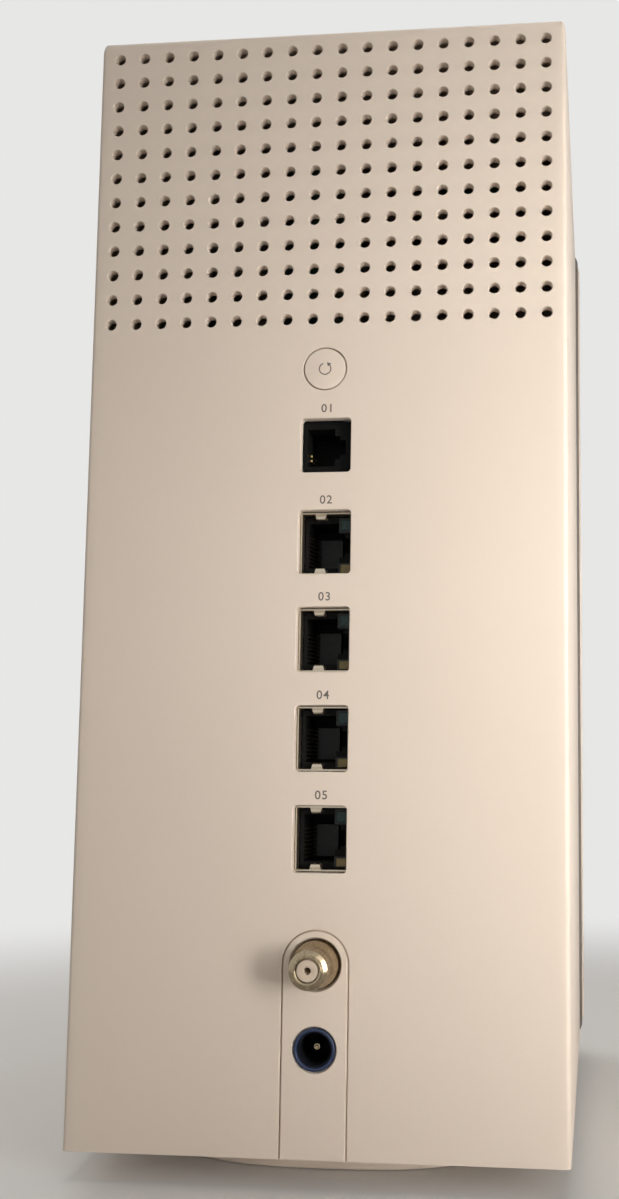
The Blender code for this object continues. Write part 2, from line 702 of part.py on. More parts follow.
def make_foot():
    """Plinth under the body, hollow from above, with four bosses for the base screws."""
    low, high = PAD_T + GAP, FOOT_H - GAP
    foot = slab("base_foot", superellipse(FOOT_W, FOOT_D, FOOT_EXPONENT), high - low, "shell_plastic")
    foot.location = (0.0, 0.0, (low + high) / 2)
    soften(foot, FOOT_BEVEL, 2, 60.0)
    hollow = slab(
        "foot_hollow",
        superellipse(FOOT_W - 2 * FOOT_WALL, FOOT_D - 2 * FOOT_WALL, FOOT_EXPONENT), high,
    )
    hollow.location = (0.0, 0.0, low + FOOT_FLOOR + high / 2)
    cut(foot, hollow)
    for x, y in BASE_SCREWS:
        post = cylinder(
            f"foot_post_{x:.3f}_{y:.3f}", FOOT_BOSS_R, (x, y, low + FOOT_FLOOR / 2), (x, y, high),
            sides=BOSS_SIDES,
        )
        join(foot, post)
    for x, y in BASE_SCREWS:
        head_top = low + GAP + SCREW_HEAD_T
        recess = cylinder(
            f"foot_recess_{x:.3f}_{y:.3f}", SCREW_HEAD_D / 2 + HEAD_CLEAR, (x, y, 0.0),
            (x, y, head_top + GAP), sides=BOSS_SIDES,
        )
        bore = cylinder(
            f"foot_bore_{x:.3f}_{y:.3f}", SCREW_D / 2 + SCREW_CLEAR, (x, y, 0.0),
            (x, y, FOOT_H + WALL), sides=BOSS_SIDES,
        )
        cut(foot, recess, bore)
    pad_w, pad_d = FOOT_W - 2 * PAD_INSET, FOOT_D - 2 * PAD_INSET
    pad = slab("foot_pad", superellipse(pad_w, pad_d, FOOT_EXPONENT), PAD_T, "rubber")
    pad.location = (0.0, 0.0, PAD_T / 2)


def make_tongue():
    """Arched insert that closes the slot in the panel and holds the coax and power sockets."""
    drop = COAX_Z - FOOT_H
    tongue = slab("port_tongue", arched_outline(TONGUE_W, drop), WALL, "shell_plastic", facing_y=True)
    tongue.location = (COLUMN_X, REAR_Y + WALL / 2, COAX_Z)
    rim_low = BOTTOM_TOP_Z + GAP
    rim_w = TONGUE_W + 2 * GAP + 2 * TONGUE_FLANGE
    rim = slab(
        "tongue_rim", arched_outline(rim_w, COAX_Z - rim_low), TONGUE_FLANGE_T, facing_y=True
    )
    rim.location = (COLUMN_X, INNER_Y + GAP + TONGUE_FLANGE_T / 2, COAX_Z)
    neck = slab(
        "tongue_neck", arched_outline(TONGUE_W - 2 * GAP, COAX_Z - rim_low), WALL, facing_y=True
    )
    neck.location = (COLUMN_X, INNER_Y + GAP, COAX_Z)
    join(tongue, neck, rim)
    for name, z, width in (("coax_hole", COAX_Z, COAX_HOLE_D),
                           ("power_hole", POWER_Z, POWER_RING_D + 2 * GAP)):
        hole = cylinder(
            name, width / 2, (COLUMN_X, REAR_Y - WALL, z), (COLUMN_X, INNER_Y + 2 * WALL, z)
        )
        cut(tongue, hole)


# ---- button ------------------------------------------------------------------------------------
def make_button():
    """Flush round button with a stem, and the switch that it presses."""
    cap_r, stem_r = BUTTON_D / 2, BUTTON_STEM_D / 2
    flange_r = cap_r + GAP + BUTTON_FLANGE
    flange_out = -(WALL + GAP)
    stem_out = -(SWITCH_SETBACK - PLUNGER_OUT - GAP)
    turned("reset_button", (
        (0.0, 0.0), (cap_r - BUTTON_CHAMFER, 0.0), (cap_r, -BUTTON_CHAMFER), (cap_r, flange_out),
        (flange_r, flange_out), (flange_r, flange_out - BUTTON_FLANGE_T),
        (stem_r, flange_out - BUTTON_FLANGE_T), (stem_r, stem_out), (0.0, stem_out),
    ), "shell_plastic", (COLUMN_X, REAR_Y, BUTTON_Z))

    front = REAR_Y + SWITCH_SETBACK
    body = box(
        "reset_switch_body", (BOARD_X + GAP, front, BUTTON_Z - SWITCH_W / 2),
        (BOARD_X + GAP + SWITCH_H, front + SWITCH_D, BUTTON_Z + SWITCH_W / 2), "black_plastic",
    )
    well = cylinder(
        "switch_well", PLUNGER_D / 2 + GAP, (COLUMN_X, front - PLUNGER_OUT, BUTTON_Z),
        (COLUMN_X, front + PLUNGER_IN + BUTTON_TRAVEL + GAP, BUTTON_Z), sides=BOSS_SIDES,
    )
    cut(body, well)
    cylinder(
        "reset_switch_plunger", PLUNGER_D / 2, (COLUMN_X, front - PLUNGER_OUT, BUTTON_Z),
        (COLUMN_X, front + PLUNGER_IN, BUTTON_Z), "grey_plastic", sides=BOSS_SIDES,
    )


# ---- sockets -----------------------------------------------------------------------------------
def spring_tab(name, z, side):
    """Spring finger of a shield: it starts at the wall's front edge and slopes into the mouth."""
    root = z + side * (SHIELD_W / 2 - SHIELD_T)
    x0 = JACK_X + SHIELD_TAB_X - SHIELD_TAB_W / 2
    tab = box(
        name, (x0, JACK_FRONT_Y, root - SHIELD_T / 2),
        (x0 + SHIELD_TAB_W, JACK_FRONT_Y + SHIELD_TAB_L - SHIELD_T, root + SHIELD_T / 2),
    )
    for corner in tab.data.vertices:
        if corner.co.y > 0:
            corner.co.z -= side * SHIELD_TAB_RISE
    return tab


def make_network_socket(number, z):
    """One shielded network socket: sheet-metal tube outside, black insert inside."""
    half_h, half_w = SHIELD_H / 2, SHIELD_W / 2
    back = JACK_FRONT_Y + SHIELD_L
    shield = box(
        f"network_shield_{number}", (JACK_X - half_h, JACK_FRONT_Y, z - half_w),
        (JACK_X + half_h, back, z + half_w), "tin_plate",
    )
    bore_h, bore_w = half_h - SHIELD_T, half_w - SHIELD_T
    bore = box(
        f"shield_bore_{number}", (JACK_X - bore_h, JACK_FRONT_Y - WALL, z - bore_w),
        (JACK_X + bore_h, back + WALL, z + bore_w),
    )
    cut(shield, bore)
    join(shield, *(spring_tab(f"shield_tab_{number}_{side}", z, side) for side in (-1, 1)))

    front = JACK_FRONT_Y + JACK_SETBACK + SHIELD_T
    insert_h, insert_w = bore_h - GAP, bore_w - GAP
    insert = box(
        f"network_jack_{number}", (JACK_X - insert_h, front, z - insert_w),
        (JACK_X + insert_h, back, z + insert_w), "black_plastic",
    )
    cut(insert, socket_cavity(
        f"network_cavity_{number}", JACK_X - insert_h + JACK_FLOOR, z, front, PLUG_W, PLUG_H, PLUG_L
    ))


def make_phone_socket():
    """Unshielded phone socket with its two gold contacts."""
    half_h, half_w = PHONE_H / 2 - GAP, PHONE_W / 2 - GAP
    x0 = JACK_X - half_h
    jack = box(
        "phone_jack", (x0, JACK_FRONT_Y, PHONE_Z - half_w),
        (JACK_X + half_h, JACK_FRONT_Y + PHONE_L, PHONE_Z + half_w), "black_plastic",
    )
    floor_x = x0 + JACK_FLOOR
    cut(jack, socket_cavity(
        "phone_cavity", floor_x, PHONE_Z, JACK_FRONT_Y, PHONE_PLUG_W, PHONE_PLUG_H, PHONE_PLUG_L
    ))
    for number in (1, 2):
        z = PHONE_Z + CONTACT_FIRST - (number - 1) * CONTACT_PITCH
        box(
            f"phone_contact_{number}",
            (floor_x + GAP, JACK_FRONT_Y + WALL, z - CONTACT_W / 2),
            (floor_x + GAP + CONTACT_W, JACK_FRONT_Y + WALL + CONTACT_L, z + CONTACT_W / 2), "gold",
        )


def make_coax_connector():
    """Threaded coax connector: metal body on the board, insulator and centre contact in it."""
    place = (COLUMN_X, REAR_Y, COAX_Z)
    bore_r, thread_r, collar_r = COAX_BORE_D / 2, COAX_THREAD_D / 2, COAX_COLLAR_D / 2
    back = -(COAX_BASE_SETBACK + OVERLAP)
    body = turned("coax_body", (
        (0.0, COAX_OUT - COAX_BORE_L), (bore_r, COAX_OUT - COAX_BORE_L), (bore_r, COAX_OUT),
        (COAX_TIP_D / 2, COAX_OUT), (thread_r, COAX_OUT - COAX_CHAMFER), (thread_r, COAX_COLLAR_OUT),
        (collar_r, COAX_COLLAR_OUT), (collar_r, back), (0.0, back),
    ), "nickel", place)
    base_y = REAR_Y + COAX_BASE_SETBACK
    half = COAX_BASE_W / 2
    base = box(
        "coax_base", (BOARD_X + GAP, base_y, COAX_Z - half),
        (COLUMN_X + half, base_y + COAX_BASE_L, COAX_Z + half),
    )
    join(body, base)
    eye_r = COAX_EYE_D / 2
    front, rear = COAX_OUT - GAP, COAX_OUT - COAX_BORE_L + GAP
    turned("coax_insulator", (
        (0.0, front - COAX_EYE_L), (eye_r, front - COAX_EYE_L), (eye_r, front), (bore_r - GAP, front),
        (bore_r - GAP, rear), (0.0, rear),
    ), "insulator", place)
    pin_r = eye_r - GAP
    turned("coax_contact", (
        (0.0, front - GAP), (pin_r, front - GAP - pin_r), (pin_r, front - COAX_EYE_L + GAP),
        (0.0, front - COAX_EYE_L + GAP),
    ), "gold", place, sides=BOSS_SIDES)


def make_power_socket():
    """Round power socket: black body on the board, blue front ring and centre pin."""
    place = (COLUMN_X, REAR_Y, POWER_Z)
    bore_r, ring_r = POWER_BORE_D / 2, POWER_RING_D / 2
    turned("power_ring", (
        (ring_r, 0.0), (ring_r, -POWER_RING_L), (bore_r, -POWER_RING_L), (bore_r, 0.0),
    ), "blue_plastic", place)
    front = REAR_Y + POWER_RING_L + GAP
    half = POWER_BODY_W / 2
    body = box(
        "power_jack", (BOARD_X + GAP, front, POWER_Z - half),
        (COLUMN_X + half, front + POWER_BODY_L, POWER_Z + half), "black_plastic",
    )
    bore = cylinder(
        "power_bore", bore_r, (COLUMN_X, front - WALL, POWER_Z),
        (COLUMN_X, front + POWER_BORE_L, POWER_Z),
    )
    pin_r = POWER_PIN_D / 2
    pin_seat = cylinder(
        "power_pin_seat", pin_r + GAP, (COLUMN_X, front, POWER_Z),
        (COLUMN_X, front + POWER_BORE_L + POWER_PIN_SEAT + GAP, POWER_Z), sides=BOSS_SIDES,
    )
    cut(body, bore, pin_seat)
    pin_back = -(POWER_RING_L + GAP + POWER_BORE_L + POWER_PIN_SEAT)
    turned("power_pin", (
        (0.0, -POWER_PIN_SETBACK), (pin_r - POWER_PIN_CHAMFER, -POWER_PIN_SETBACK),
        (pin_r, -POWER_PIN_SETBACK - POWER_PIN_CHAMFER), (pin_r, pin_back), (0.0, pin_back),
    ), "nickel", place, sides=BOSS_SIDES)


# ---- board, frame and screws -------------------------------------------------------------------
def make_main_board():
    """Upright circuit board; the sockets stand along its rear edge."""
    board = box(
        "main_board", (BOARD_X - BOARD_T, BOARD_Y0, BOARD_BOTTOM), (BOARD_X, BOARD_Y1, BOARD_Z1),
        "board",
    )
    holes = bmesh.new()
    across = Matrix.Rotation(math.pi / 2, 4, "Y")
    for y, z in BOARD_HOLES + SINK_LEGS:
        bmesh.ops.create_cone(
            holes, cap_ends=True, segments=BOSS_SIDES, radius1=SCREW_D / 2 + SCREW_CLEAR,
            radius2=SCREW_D / 2 + SCREW_CLEAR, depth=4 * BOARD_T,
            matrix=Matrix.Translation((BOARD_X - BOARD_T / 2, y, z)) @ across,
        )
    cut(board, mesh_object("board_holes", holes))


def make_inner_frame():
    """Plastic frame on the bottom cover that carries the main board on four bosses."""
    y0, y1 = BOARD_Y0, BOARD_Y1 + FRAME_MARGIN
    z0, z1 = BOTTOM_TOP_Z + GAP, BOARD_Z1 + FRAME_MARGIN
    left = FRAME_X - FRAME_T
    frame = box("inner_frame", (left, y0, z0), (FRAME_X, y1, z1), "grey_plastic")
    mid = (z0 + z1) / 2
    windows = ((z0 + FRAME_RIM, mid - FRAME_RIB / 2), (mid + FRAME_RIB / 2, z1 - FRAME_RIM))
    for number, (low, high) in enumerate(windows, start=1):
        cut(frame, box(
            f"frame_window_{number}", (left - WALL, y0 + FRAME_RIM, low),
            (FRAME_X + WALL, y1 - FRAME_RIM, high),
        ))
    flange = box(
        "frame_flange", (left - FRAME_FLANGE_W, -FRAME_FLANGE_L / 2, z0),
        (left + OVERLAP, FRAME_FLANGE_L / 2, z0 + FRAME_T),
    )
    join(frame, flange)
    for number, (y, z) in enumerate(BOARD_HOLES, start=1):
        boss = cylinder(
            f"frame_boss_{number}", FRAME_BOSS_R, (FRAME_X - OVERLAP, y, z),
            (BOARD_X - BOARD_T - GAP, y, z), sides=BOSS_SIDES,
        )
        join(frame, boss)
    for number, (y, z) in enumerate(BOARD_HOLES, start=1):
        bore = cylinder(
            f"frame_bore_{number}", SCREW_D / 2 + SCREW_CLEAR, (left - WALL, y, z),
            (BOARD_X, y, z), sides=BOSS_SIDES,
        )
        cut(frame, bore)


def screw(name, seat, direction, length):
    """A cap screw: the seat is the point under its head, and the shank runs along direction."""
    bm = bmesh.new()
    parts = (
        (SCREW_HEAD_D / 2, -SCREW_HEAD_T, 0.0),
        (SCREW_D / 2, -OVERLAP, length),
    )
    head, shank = (
        cylinder(f"{name}_{i}", r, (0, 0, a), (0, 0, b), sides=BOSS_SIDES)
        for i, (r, a, b) in enumerate(parts)
    )
    bm.from_mesh(head.data)
    bmesh.ops.translate(bm, verts=bm.verts, vec=head.location)
    bpy.data.objects.remove(head, do_unlink=True)
    thing = mesh_object(name, bm, "steel", smooth=True)
    socket = cylinder(
        f"{name}_socket", SCREW_SOCKET_D / 2, (0, 0, -2 * SCREW_HEAD_T),
        (0, 0, -SCREW_HEAD_T + SCREW_SOCKET_T), sides=6,
    )
    turn = Vector(direction).to_track_quat("Z", "Y").to_matrix().to_4x4()
    place = Matrix.Translation(seat) @ turn
    for piece in (thing, shank, socket):
        piece.matrix_world = place @ piece.matrix_basis
    join(thing, shank)
    cut(thing, socket)
    return thing


def make_screws():
    """Board screws, heatsink screws and base screws."""
    for number, (y, z) in enumerate(BOARD_HOLES, start=1):
        screw(f"board_screw_{number}", (BOARD_X + GAP, y, z), (-1, 0, 0), BOARD_SCREW_L)
    for number, (y, z) in enumerate(SINK_LEGS, start=1):
        seat = (BOARD_X - BOARD_T - GAP, y, z)
        screw(f"heatsink_screw_{number}", seat, (1, 0, 0), SINK_SCREW_L)
    for number, (x, y) in enumerate(BASE_SCREWS, start=1):
        seat = (x, y, PAD_T + 2 * GAP + SCREW_HEAD_T)
        screw(f"base_screw_{number}", seat, (0, 0, 1), BASE_SCREW_L)


# ---- heat path and chips -------------------------------------------------------------------------
def on_board(name, y, z, size_y, size_z, x0, x1, look):
    """A block on the board's right side, from x0 to x1 out of the board's face."""
    return box(
        name, (BOARD_X + x0, y - size_y / 2, z - size_z / 2),
        (BOARD_X + x1, y + size_y / 2, z + size_z / 2), look,
    )


def make_heat_path():
    """Main chip, heat pad and finned heatsink on four legs."""
    chip_x = GAP + CHIP_T
    pad_x = chip_x + GAP + PAD_COND_T
    on_board("main_chip", SINK_Y, SINK_Z, CHIP_W, CHIP_W, GAP, chip_x, "chip")
    on_board("heat_pad", SINK_Y, SINK_Z, CHIP_W, CHIP_W, chip_x + GAP, pad_x, "heat_pad")
    base_x = BOARD_X + pad_x + GAP
    top_x, tip_x = base_x + SINK_BASE_T, base_x + SINK_BASE_T + SINK_FIN_H
    y0 = SINK_Y - SINK_L / 2
    pitch = (SINK_L - SINK_FIN_T) / (SINK_FINS - 1)
    comb = [(base_x, y0 + SINK_L), (base_x, y0)]
    for i in range(SINK_FINS):
        low, high = y0 + i * pitch, y0 + i * pitch + SINK_FIN_T
        comb += [(tip_x, low), (tip_x, high)]
        if i < SINK_FINS - 1:
            comb += [(top_x, high), (top_x, low + pitch)]
    sink = slab("heatsink", comb, SINK_H, "aluminium")
    sink.location = (0.0, 0.0, SINK_Z)
    for number, (y, z) in enumerate(SINK_LEGS, start=1):
        leg = cylinder(
            f"heatsink_leg_{number}", SINK_LEG_R, (BOARD_X + GAP, y, z), (base_x + OVERLAP, y, z),
            sides=BOSS_SIDES,
        )
        join(sink, leg)
    for number, (y, z) in enumerate(SINK_LEGS, start=1):
        depth = BOARD_X - BOARD_T - GAP + SINK_SCREW_L + GAP
        bore = cylinder(
            f"heatsink_bore_{number}", SCREW_D / 2 + SCREW_CLEAR, (BOARD_X - WALL, y, z),
            (depth, y, z), sides=BOSS_SIDES,
        )
        cut(sink, bore)


def make_can(name, y, z, size):
    """Sheet-metal shield can, open towards the board."""
    size_y, size_z = size
    can = on_board(name, y, z, size_y, size_z, GAP, GAP + CAN_H, "tin_plate")
    inside = on_board(
        name + "_inside", y, z, size_y - 2 * CAN_T, size_z - 2 * CAN_T, -CAN_H, GAP + CAN_H - CAN_T,
        None,
    )
    cut(can, inside)


def make_board_parts():
    """Shield cans over the radios and the tuner, and two memory chips."""
    make_can("radio_can", SINK_Y, RADIO_CAN_Z, RADIO_CAN)
    make_can("tuner_can", SINK_Y - TUNER_CAN[0] / 2, TUNER_CAN_Z, TUNER_CAN)
    size_y, size_z, height = MEMORY_SIZE
    for number in (1, 2):
        y = SINK_Y + number * MEMORY_PITCH
        on_board(f"memory_chip_{number}", y, TUNER_CAN_Z, size_y, size_z, GAP, GAP + height, "chip")


# ---- antennas ----------------------------------------------------------------------------------
def make_antennas():
    """Four antenna boards on the inner faces of the casing, each with its lead to the radios."""
    start = Vector((
        BOARD_X + GAP + CAN_H + LEAD_R + LEAD_CLEAR, SINK_Y, RADIO_CAN_Z + RADIO_CAN[1] / 2 - LEAD_RISE / 2
    ))
    skin = WALL + GAP
    run_z = TOP_Z - WALL - LEAD_DROP
    for side, name in ((-1, "left"), (1, "right")):
        x = side * (body_half_width(ANTENNA_Y) - (skin + ANTENNA_T / 2) / math.cos(FLARE_ANGLE))
        half = Vector((ANTENNA_T, ANTENNA_W, ANTENNA_L)) / 2
        plate = box(f"antenna_{name}", -half, half, "board")
        plate.location = (x, ANTENNA_Y, ANTENNA_Z)
        plate.rotation_euler = (0.0, 0.0, -side * FLARE_ANGLE)
        end = Vector((x - side * (ANTENNA_T / 2 + LEAD_R + LEAD_CLEAR), ANTENNA_Y, ANTENNA_Z))
        root = start + Vector((0.0, side * LEAD_PITCH, 0.0))
        wire(f"antenna_lead_{name}", (
            root, root + Vector((LEAD_RISE / 4, 0.0, LEAD_RISE)),
            (root.x + side * LEAD_RISE / 2, ANTENNA_Y, run_z), (x / 2, ANTENNA_Y, run_z),
            (x - side * LEAD_DROP / 2, ANTENNA_Y, end.z + ANTENNA_L / 2), end,
        ), LEAD_R, "lead_jacket")

    top_z = TOP_Z - skin - ANTENNA_T
    box(
        "antenna_top", (TOP_ANTENNA_X, SINK_Y - ANTENNA_W / 2, top_z),
        (TOP_ANTENNA_X + TOP_ANTENNA_L, SINK_Y + ANTENNA_W / 2, top_z + ANTENNA_T), "board",
    )
    root = start - Vector((0.0, 0.0, LEAD_PITCH))
    lift = Vector((LEAD_RISE, 0.0, LEAD_RISE))
    end = Vector((TOP_ANTENNA_X + TOP_ANTENNA_L / 3, SINK_Y, top_z - LEAD_R - LEAD_CLEAR))
    wire("antenna_lead_top", (
        root, root + lift, (end.x - LEAD_RISE / 2, SINK_Y, root.z + 2 * LEAD_RISE), end,
    ), LEAD_R, "lead_jacket")

    front_y = FRONT_Y - skin
    box(
        "antenna_front", (-ANTENNA_W / 2, front_y - ANTENNA_T, SINK_Z - ANTENNA_L / 2),
        (ANTENNA_W / 2, front_y, SINK_Z + ANTENNA_L / 2), "board",
    )
    root = start + Vector((0.0, 2 * LEAD_PITCH, -LEAD_PITCH))
    wire("antenna_lead_front", (
        root, root + Vector((LEAD_RISE, 2 * LEAD_PITCH, 0.0)),
        (LEAD_RISE, SEAM_Y - LEAD_RISE, root.z - 2 * LEAD_RISE),
        (LEAD_RISE / 2, SEAM_Y + LEAD_RISE / 2, SINK_Z + ANTENNA_L / 2),
        (0.0, front_y - ANTENNA_T - LEAD_R - LEAD_CLEAR, SINK_Z),
    ), LEAD_R, "lead_jacket")


# ---- status light ------------------------------------------------------------------------------
LIGHT_BOARD_Y1 = FRONT_Y - WALL - GAP - LIGHT_FLANGE_T - LIGHT_LED_GAP
LIGHT_BOARD_Y0 = LIGHT_BOARD_Y1 - LIGHT_BOARD_T


def make_status_light():
    """Light bar in the front cover, and the small board behind it."""
    bar_l = WALL + GAP
    bar = slab(
        "light_bar", rounded_rectangle(LIGHT_W, LIGHT_H, LIGHT_H / 2 - GAP), bar_l + OVERLAP,
        "light_plastic", facing_y=True,
    )
    bar.location = (0.0, FRONT_Y - (bar_l + OVERLAP) / 2, LIGHT_Z)
    flange = box(
        "light_flange",
        (-LIGHT_W / 2 - LIGHT_FLANGE, FRONT_Y - bar_l - LIGHT_FLANGE_T, LIGHT_Z - LIGHT_H / 2 - LIGHT_FLANGE),
        (LIGHT_W / 2 + LIGHT_FLANGE, FRONT_Y - bar_l, LIGHT_Z + LIGHT_H / 2 + LIGHT_FLANGE),
    )
    join(bar, flange)
    box(
        "light_board", (-LIGHT_BOARD_W / 2, LIGHT_BOARD_Y0, LIGHT_Z - LIGHT_BOARD_H / 2),
        (LIGHT_BOARD_W / 2, LIGHT_BOARD_Y1, LIGHT_Z + LIGHT_BOARD_H / 2), "board",
    )
    wire("light_lead", (
        (BOARD_X + GAP + LEAD_R + LEAD_CLEAR, BOARD_Y1 - LEAD_DROP, LIGHT_Z - LIGHT_LEAD_DROP),
        (BOARD_X / 2, BOARD_Y1, LIGHT_Z - LIGHT_LEAD_DROP),
        (BOARD_X / 4, (BOARD_Y1 + LIGHT_BOARD_Y0) / 2, LIGHT_Z - LIGHT_LEAD_DROP / 2),
        (0.0, LIGHT_BOARD_Y0 - LEAD_CLEAR, LIGHT_Z),
    ), LEAD_R, "lead_jacket")


make_rear_housing()
make_seam_trim()
make_front_cover()
make_bottom_cover()
make_foot()
make_tongue()
make_button()
for socket_number, socket_z in enumerate(NETWORK_Z, start=1):
    make_network_socket(socket_number, socket_z)
make_phone_socket()
make_coax_connector()
make_power_socket()
make_main_board()
make_inner_frame()
make_screws()
make_heat_path()
make_board_parts()
make_antennas()
make_status_light()
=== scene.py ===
# %% [markdown]
# # An upright broadband terminal, seen from its port side
#
# The solids of this part are already packed as a fixed frame: a tall plastic tower with vents, a
# reset button, a telephone socket, four network sockets, a coax connector and a power socket.
# This lesson dresses that frame. It sets up a camera and soft light, makes finishes from nodes, works out
# finer surfaces with numpy where a plain solid would look coarse, and prints its size beside that of the
# solids.

# %% Load the frame
import json
import math

import bmesh
import bpy
import numpy as np
from mathutils import Matrix, Vector


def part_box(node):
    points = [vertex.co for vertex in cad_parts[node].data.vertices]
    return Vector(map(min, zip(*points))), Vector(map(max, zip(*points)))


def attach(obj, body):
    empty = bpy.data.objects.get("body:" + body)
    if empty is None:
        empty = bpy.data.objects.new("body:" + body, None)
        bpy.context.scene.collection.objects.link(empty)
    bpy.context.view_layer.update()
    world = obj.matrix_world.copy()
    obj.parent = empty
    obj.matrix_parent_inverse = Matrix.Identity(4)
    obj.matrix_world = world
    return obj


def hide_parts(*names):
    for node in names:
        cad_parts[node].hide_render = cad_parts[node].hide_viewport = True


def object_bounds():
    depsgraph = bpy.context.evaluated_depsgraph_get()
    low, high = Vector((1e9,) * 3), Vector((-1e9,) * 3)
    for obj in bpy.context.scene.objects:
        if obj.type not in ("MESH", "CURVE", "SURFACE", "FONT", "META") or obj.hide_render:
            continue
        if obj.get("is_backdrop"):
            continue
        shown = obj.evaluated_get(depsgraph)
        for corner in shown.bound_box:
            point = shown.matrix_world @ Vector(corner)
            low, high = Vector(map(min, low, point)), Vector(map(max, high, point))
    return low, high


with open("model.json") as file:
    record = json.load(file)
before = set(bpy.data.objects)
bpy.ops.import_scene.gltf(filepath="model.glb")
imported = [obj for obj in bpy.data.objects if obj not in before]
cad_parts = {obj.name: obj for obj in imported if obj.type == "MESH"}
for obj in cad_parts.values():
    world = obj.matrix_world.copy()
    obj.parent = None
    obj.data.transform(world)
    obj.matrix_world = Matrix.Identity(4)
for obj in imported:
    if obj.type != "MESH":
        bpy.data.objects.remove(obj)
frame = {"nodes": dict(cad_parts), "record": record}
cad_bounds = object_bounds()
nodes = frame["nodes"]
MM = 0.001
print("nodes:", len(nodes), "box in mm:", [[round(v / MM, 1) for v in corner] for corner in cad_bounds])


# %% [markdown]
# ## Places come from the frame
#
# A piece that fits a solid takes its place from that solid's box. Only sizes that a box can't
# give, such as the panel's width behind the spreading sides, are written down.

# %% Sizes shared by several pieces
def middle(node):
    """Middle of a node's box."""
    return np.mean(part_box(node), axis=0)


def reach(node, axis):
    """Lowest and highest value of a node's box along one axis, 0 for X, 1 for Y and 2 for Z."""
    return np.array(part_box(node))[:, axis]


REAR_Y, SEAM_Y = reach("rear_housing", 1)
BASE_Z, TOP_Z = reach("rear_housing", 2)
SEAM_HALF = reach("rear_housing", 0)[1]
PANEL_HALF = 62.5 * MM
WALL = 2.5 * MM
BUTTON = middle("reset_button")
COAX = middle("coax_insulator")
POWER = middle("power_ring")
PHONE = middle("phone_jack")
NETWORK = [middle(f"network_shield_{number}") for number in (1, 2, 3, 4)]
print("panel:", round(2 * PANEL_HALF / MM, 1), "by", round((TOP_Z - BASE_Z) / MM, 1), "mm")

# %% [markdown]
# ## Camera
#
# The view is from close by, in line with the tower's right edge, so the panel is seen almost
# straight on and a sliver of the right side shows. A lens can be turned towards the object, which
# makes its edges lean, or shifted, which keeps them parallel. Here a turn of a few degrees does
# most, and a small shift does the rest.

# %% Place the camera
CAMERA_PLACE = Vector((58.9, -372.7, 100.5)) * MM
PAN, TILT, ROLL = (math.radians(a) for a in (5.43, 5.85, 0.34))


def new_object(name, data):
    """A new object that is linked to the scene."""
    made = bpy.data.objects.new(name, data)
    bpy.context.scene.collection.objects.link(made)
    return made


lens = bpy.data.cameras.new("view_lens")
lens.lens = 35.4
lens.sensor_width = 36.0
lens.shift_x, lens.shift_y = -0.111, 0.0434
lens.clip_start = 0.01
camera = new_object("view_camera", lens)
camera.matrix_world = (
    Matrix.Translation(CAMERA_PLACE)
    @ Matrix.Rotation(PAN, 4, "Z")
    @ Matrix.Rotation(math.radians(90) + TILT, 4, "X")
    @ Matrix.Rotation(ROLL, 4, "Z")
)
bpy.context.scene.camera = camera
bpy.context.scene.view_settings.view_transform = "Standard"
print("camera stands", round((REAR_Y - CAMERA_PLACE.y) / MM), "mm off the panel")


# %% [markdown]
# ## Surfaces as arrays
#
# Every new piece is made of patches: blocks of points worked out as one numpy array, with the
# four-cornered faces between neighbours. Patches that meet share their border points, so merging
# equal points closes the skin, and its faces can then be turned outwards.

# %% Helpers that turn arrays into a closed mesh
def packed(*parts):
    """Arrays and numbers stretched to one shape and set side by side along a new last axis."""
    return np.stack(np.broadcast_arrays(*parts), axis=-1)


def polar(angle):
    """Points (cos, sin) on the unit circle."""
    return packed(np.cos(angle), np.sin(angle))


def grid_faces(rows, columns, close_rows=False, close_columns=False):
    """Faces of a grid: corner (r, c) with (r, c+1), (r+1, c+1), (r+1, c), counted row by row."""
    r = np.arange(rows if close_rows else rows - 1)[:, None]
    c = np.arange(columns if close_columns else columns - 1)[None, :]
    r1, c1 = (r + 1) % rows, (c + 1) % columns
    corners = (r * columns + c, r * columns + c1, r1 * columns + c1, r1 * columns + c)
    return packed(*corners).reshape(-1, 4)


def grid_patch(points, close_rows=False, close_columns=False):
    """A patch from an array of shape (rows, columns, 3)."""
    rows, columns = points.shape[:2]
    return points.reshape(-1, 3), grid_faces(rows, columns, close_rows, close_columns)


def join_patches(patches):
    """One patch from several: each face's numbers are moved on by the points before its own."""
    starts = np.cumsum([0] + [len(points) for points, _ in patches[:-1]])
    points = np.concatenate([points for points, _ in patches])
    faces = np.concatenate([faces + start for (_, faces), start in zip(patches, starts)])
    return points, faces


def fold_repeats(faces):
    """Splits faces in quads and triangles: where corner i equals corner i+1, the other three stay."""
    same = faces == np.roll(faces, -1, axis=1)
    folded = same.any(axis=1)
    first = same[folded].argmax(axis=1)
    three = (first[:, None] + 1 + np.arange(3)) % 4
    return faces[~folded], np.take_along_axis(faces[folded], three, axis=1)


def clean_mesh(mesh):
    """Merges equal points, turns the faces outwards and returns the number of open edges."""
    bm = bmesh.new()
    bm.from_mesh(mesh)
    bmesh.ops.remove_doubles(bm, verts=bm.verts, dist=0.001 * MM)
    bmesh.ops.recalc_face_normals(bm, faces=bm.faces)
    open_edges = sum(len(edge.link_faces) != 2 for edge in bm.edges)
    bm.to_mesh(mesh)
    bm.free()
    return open_edges


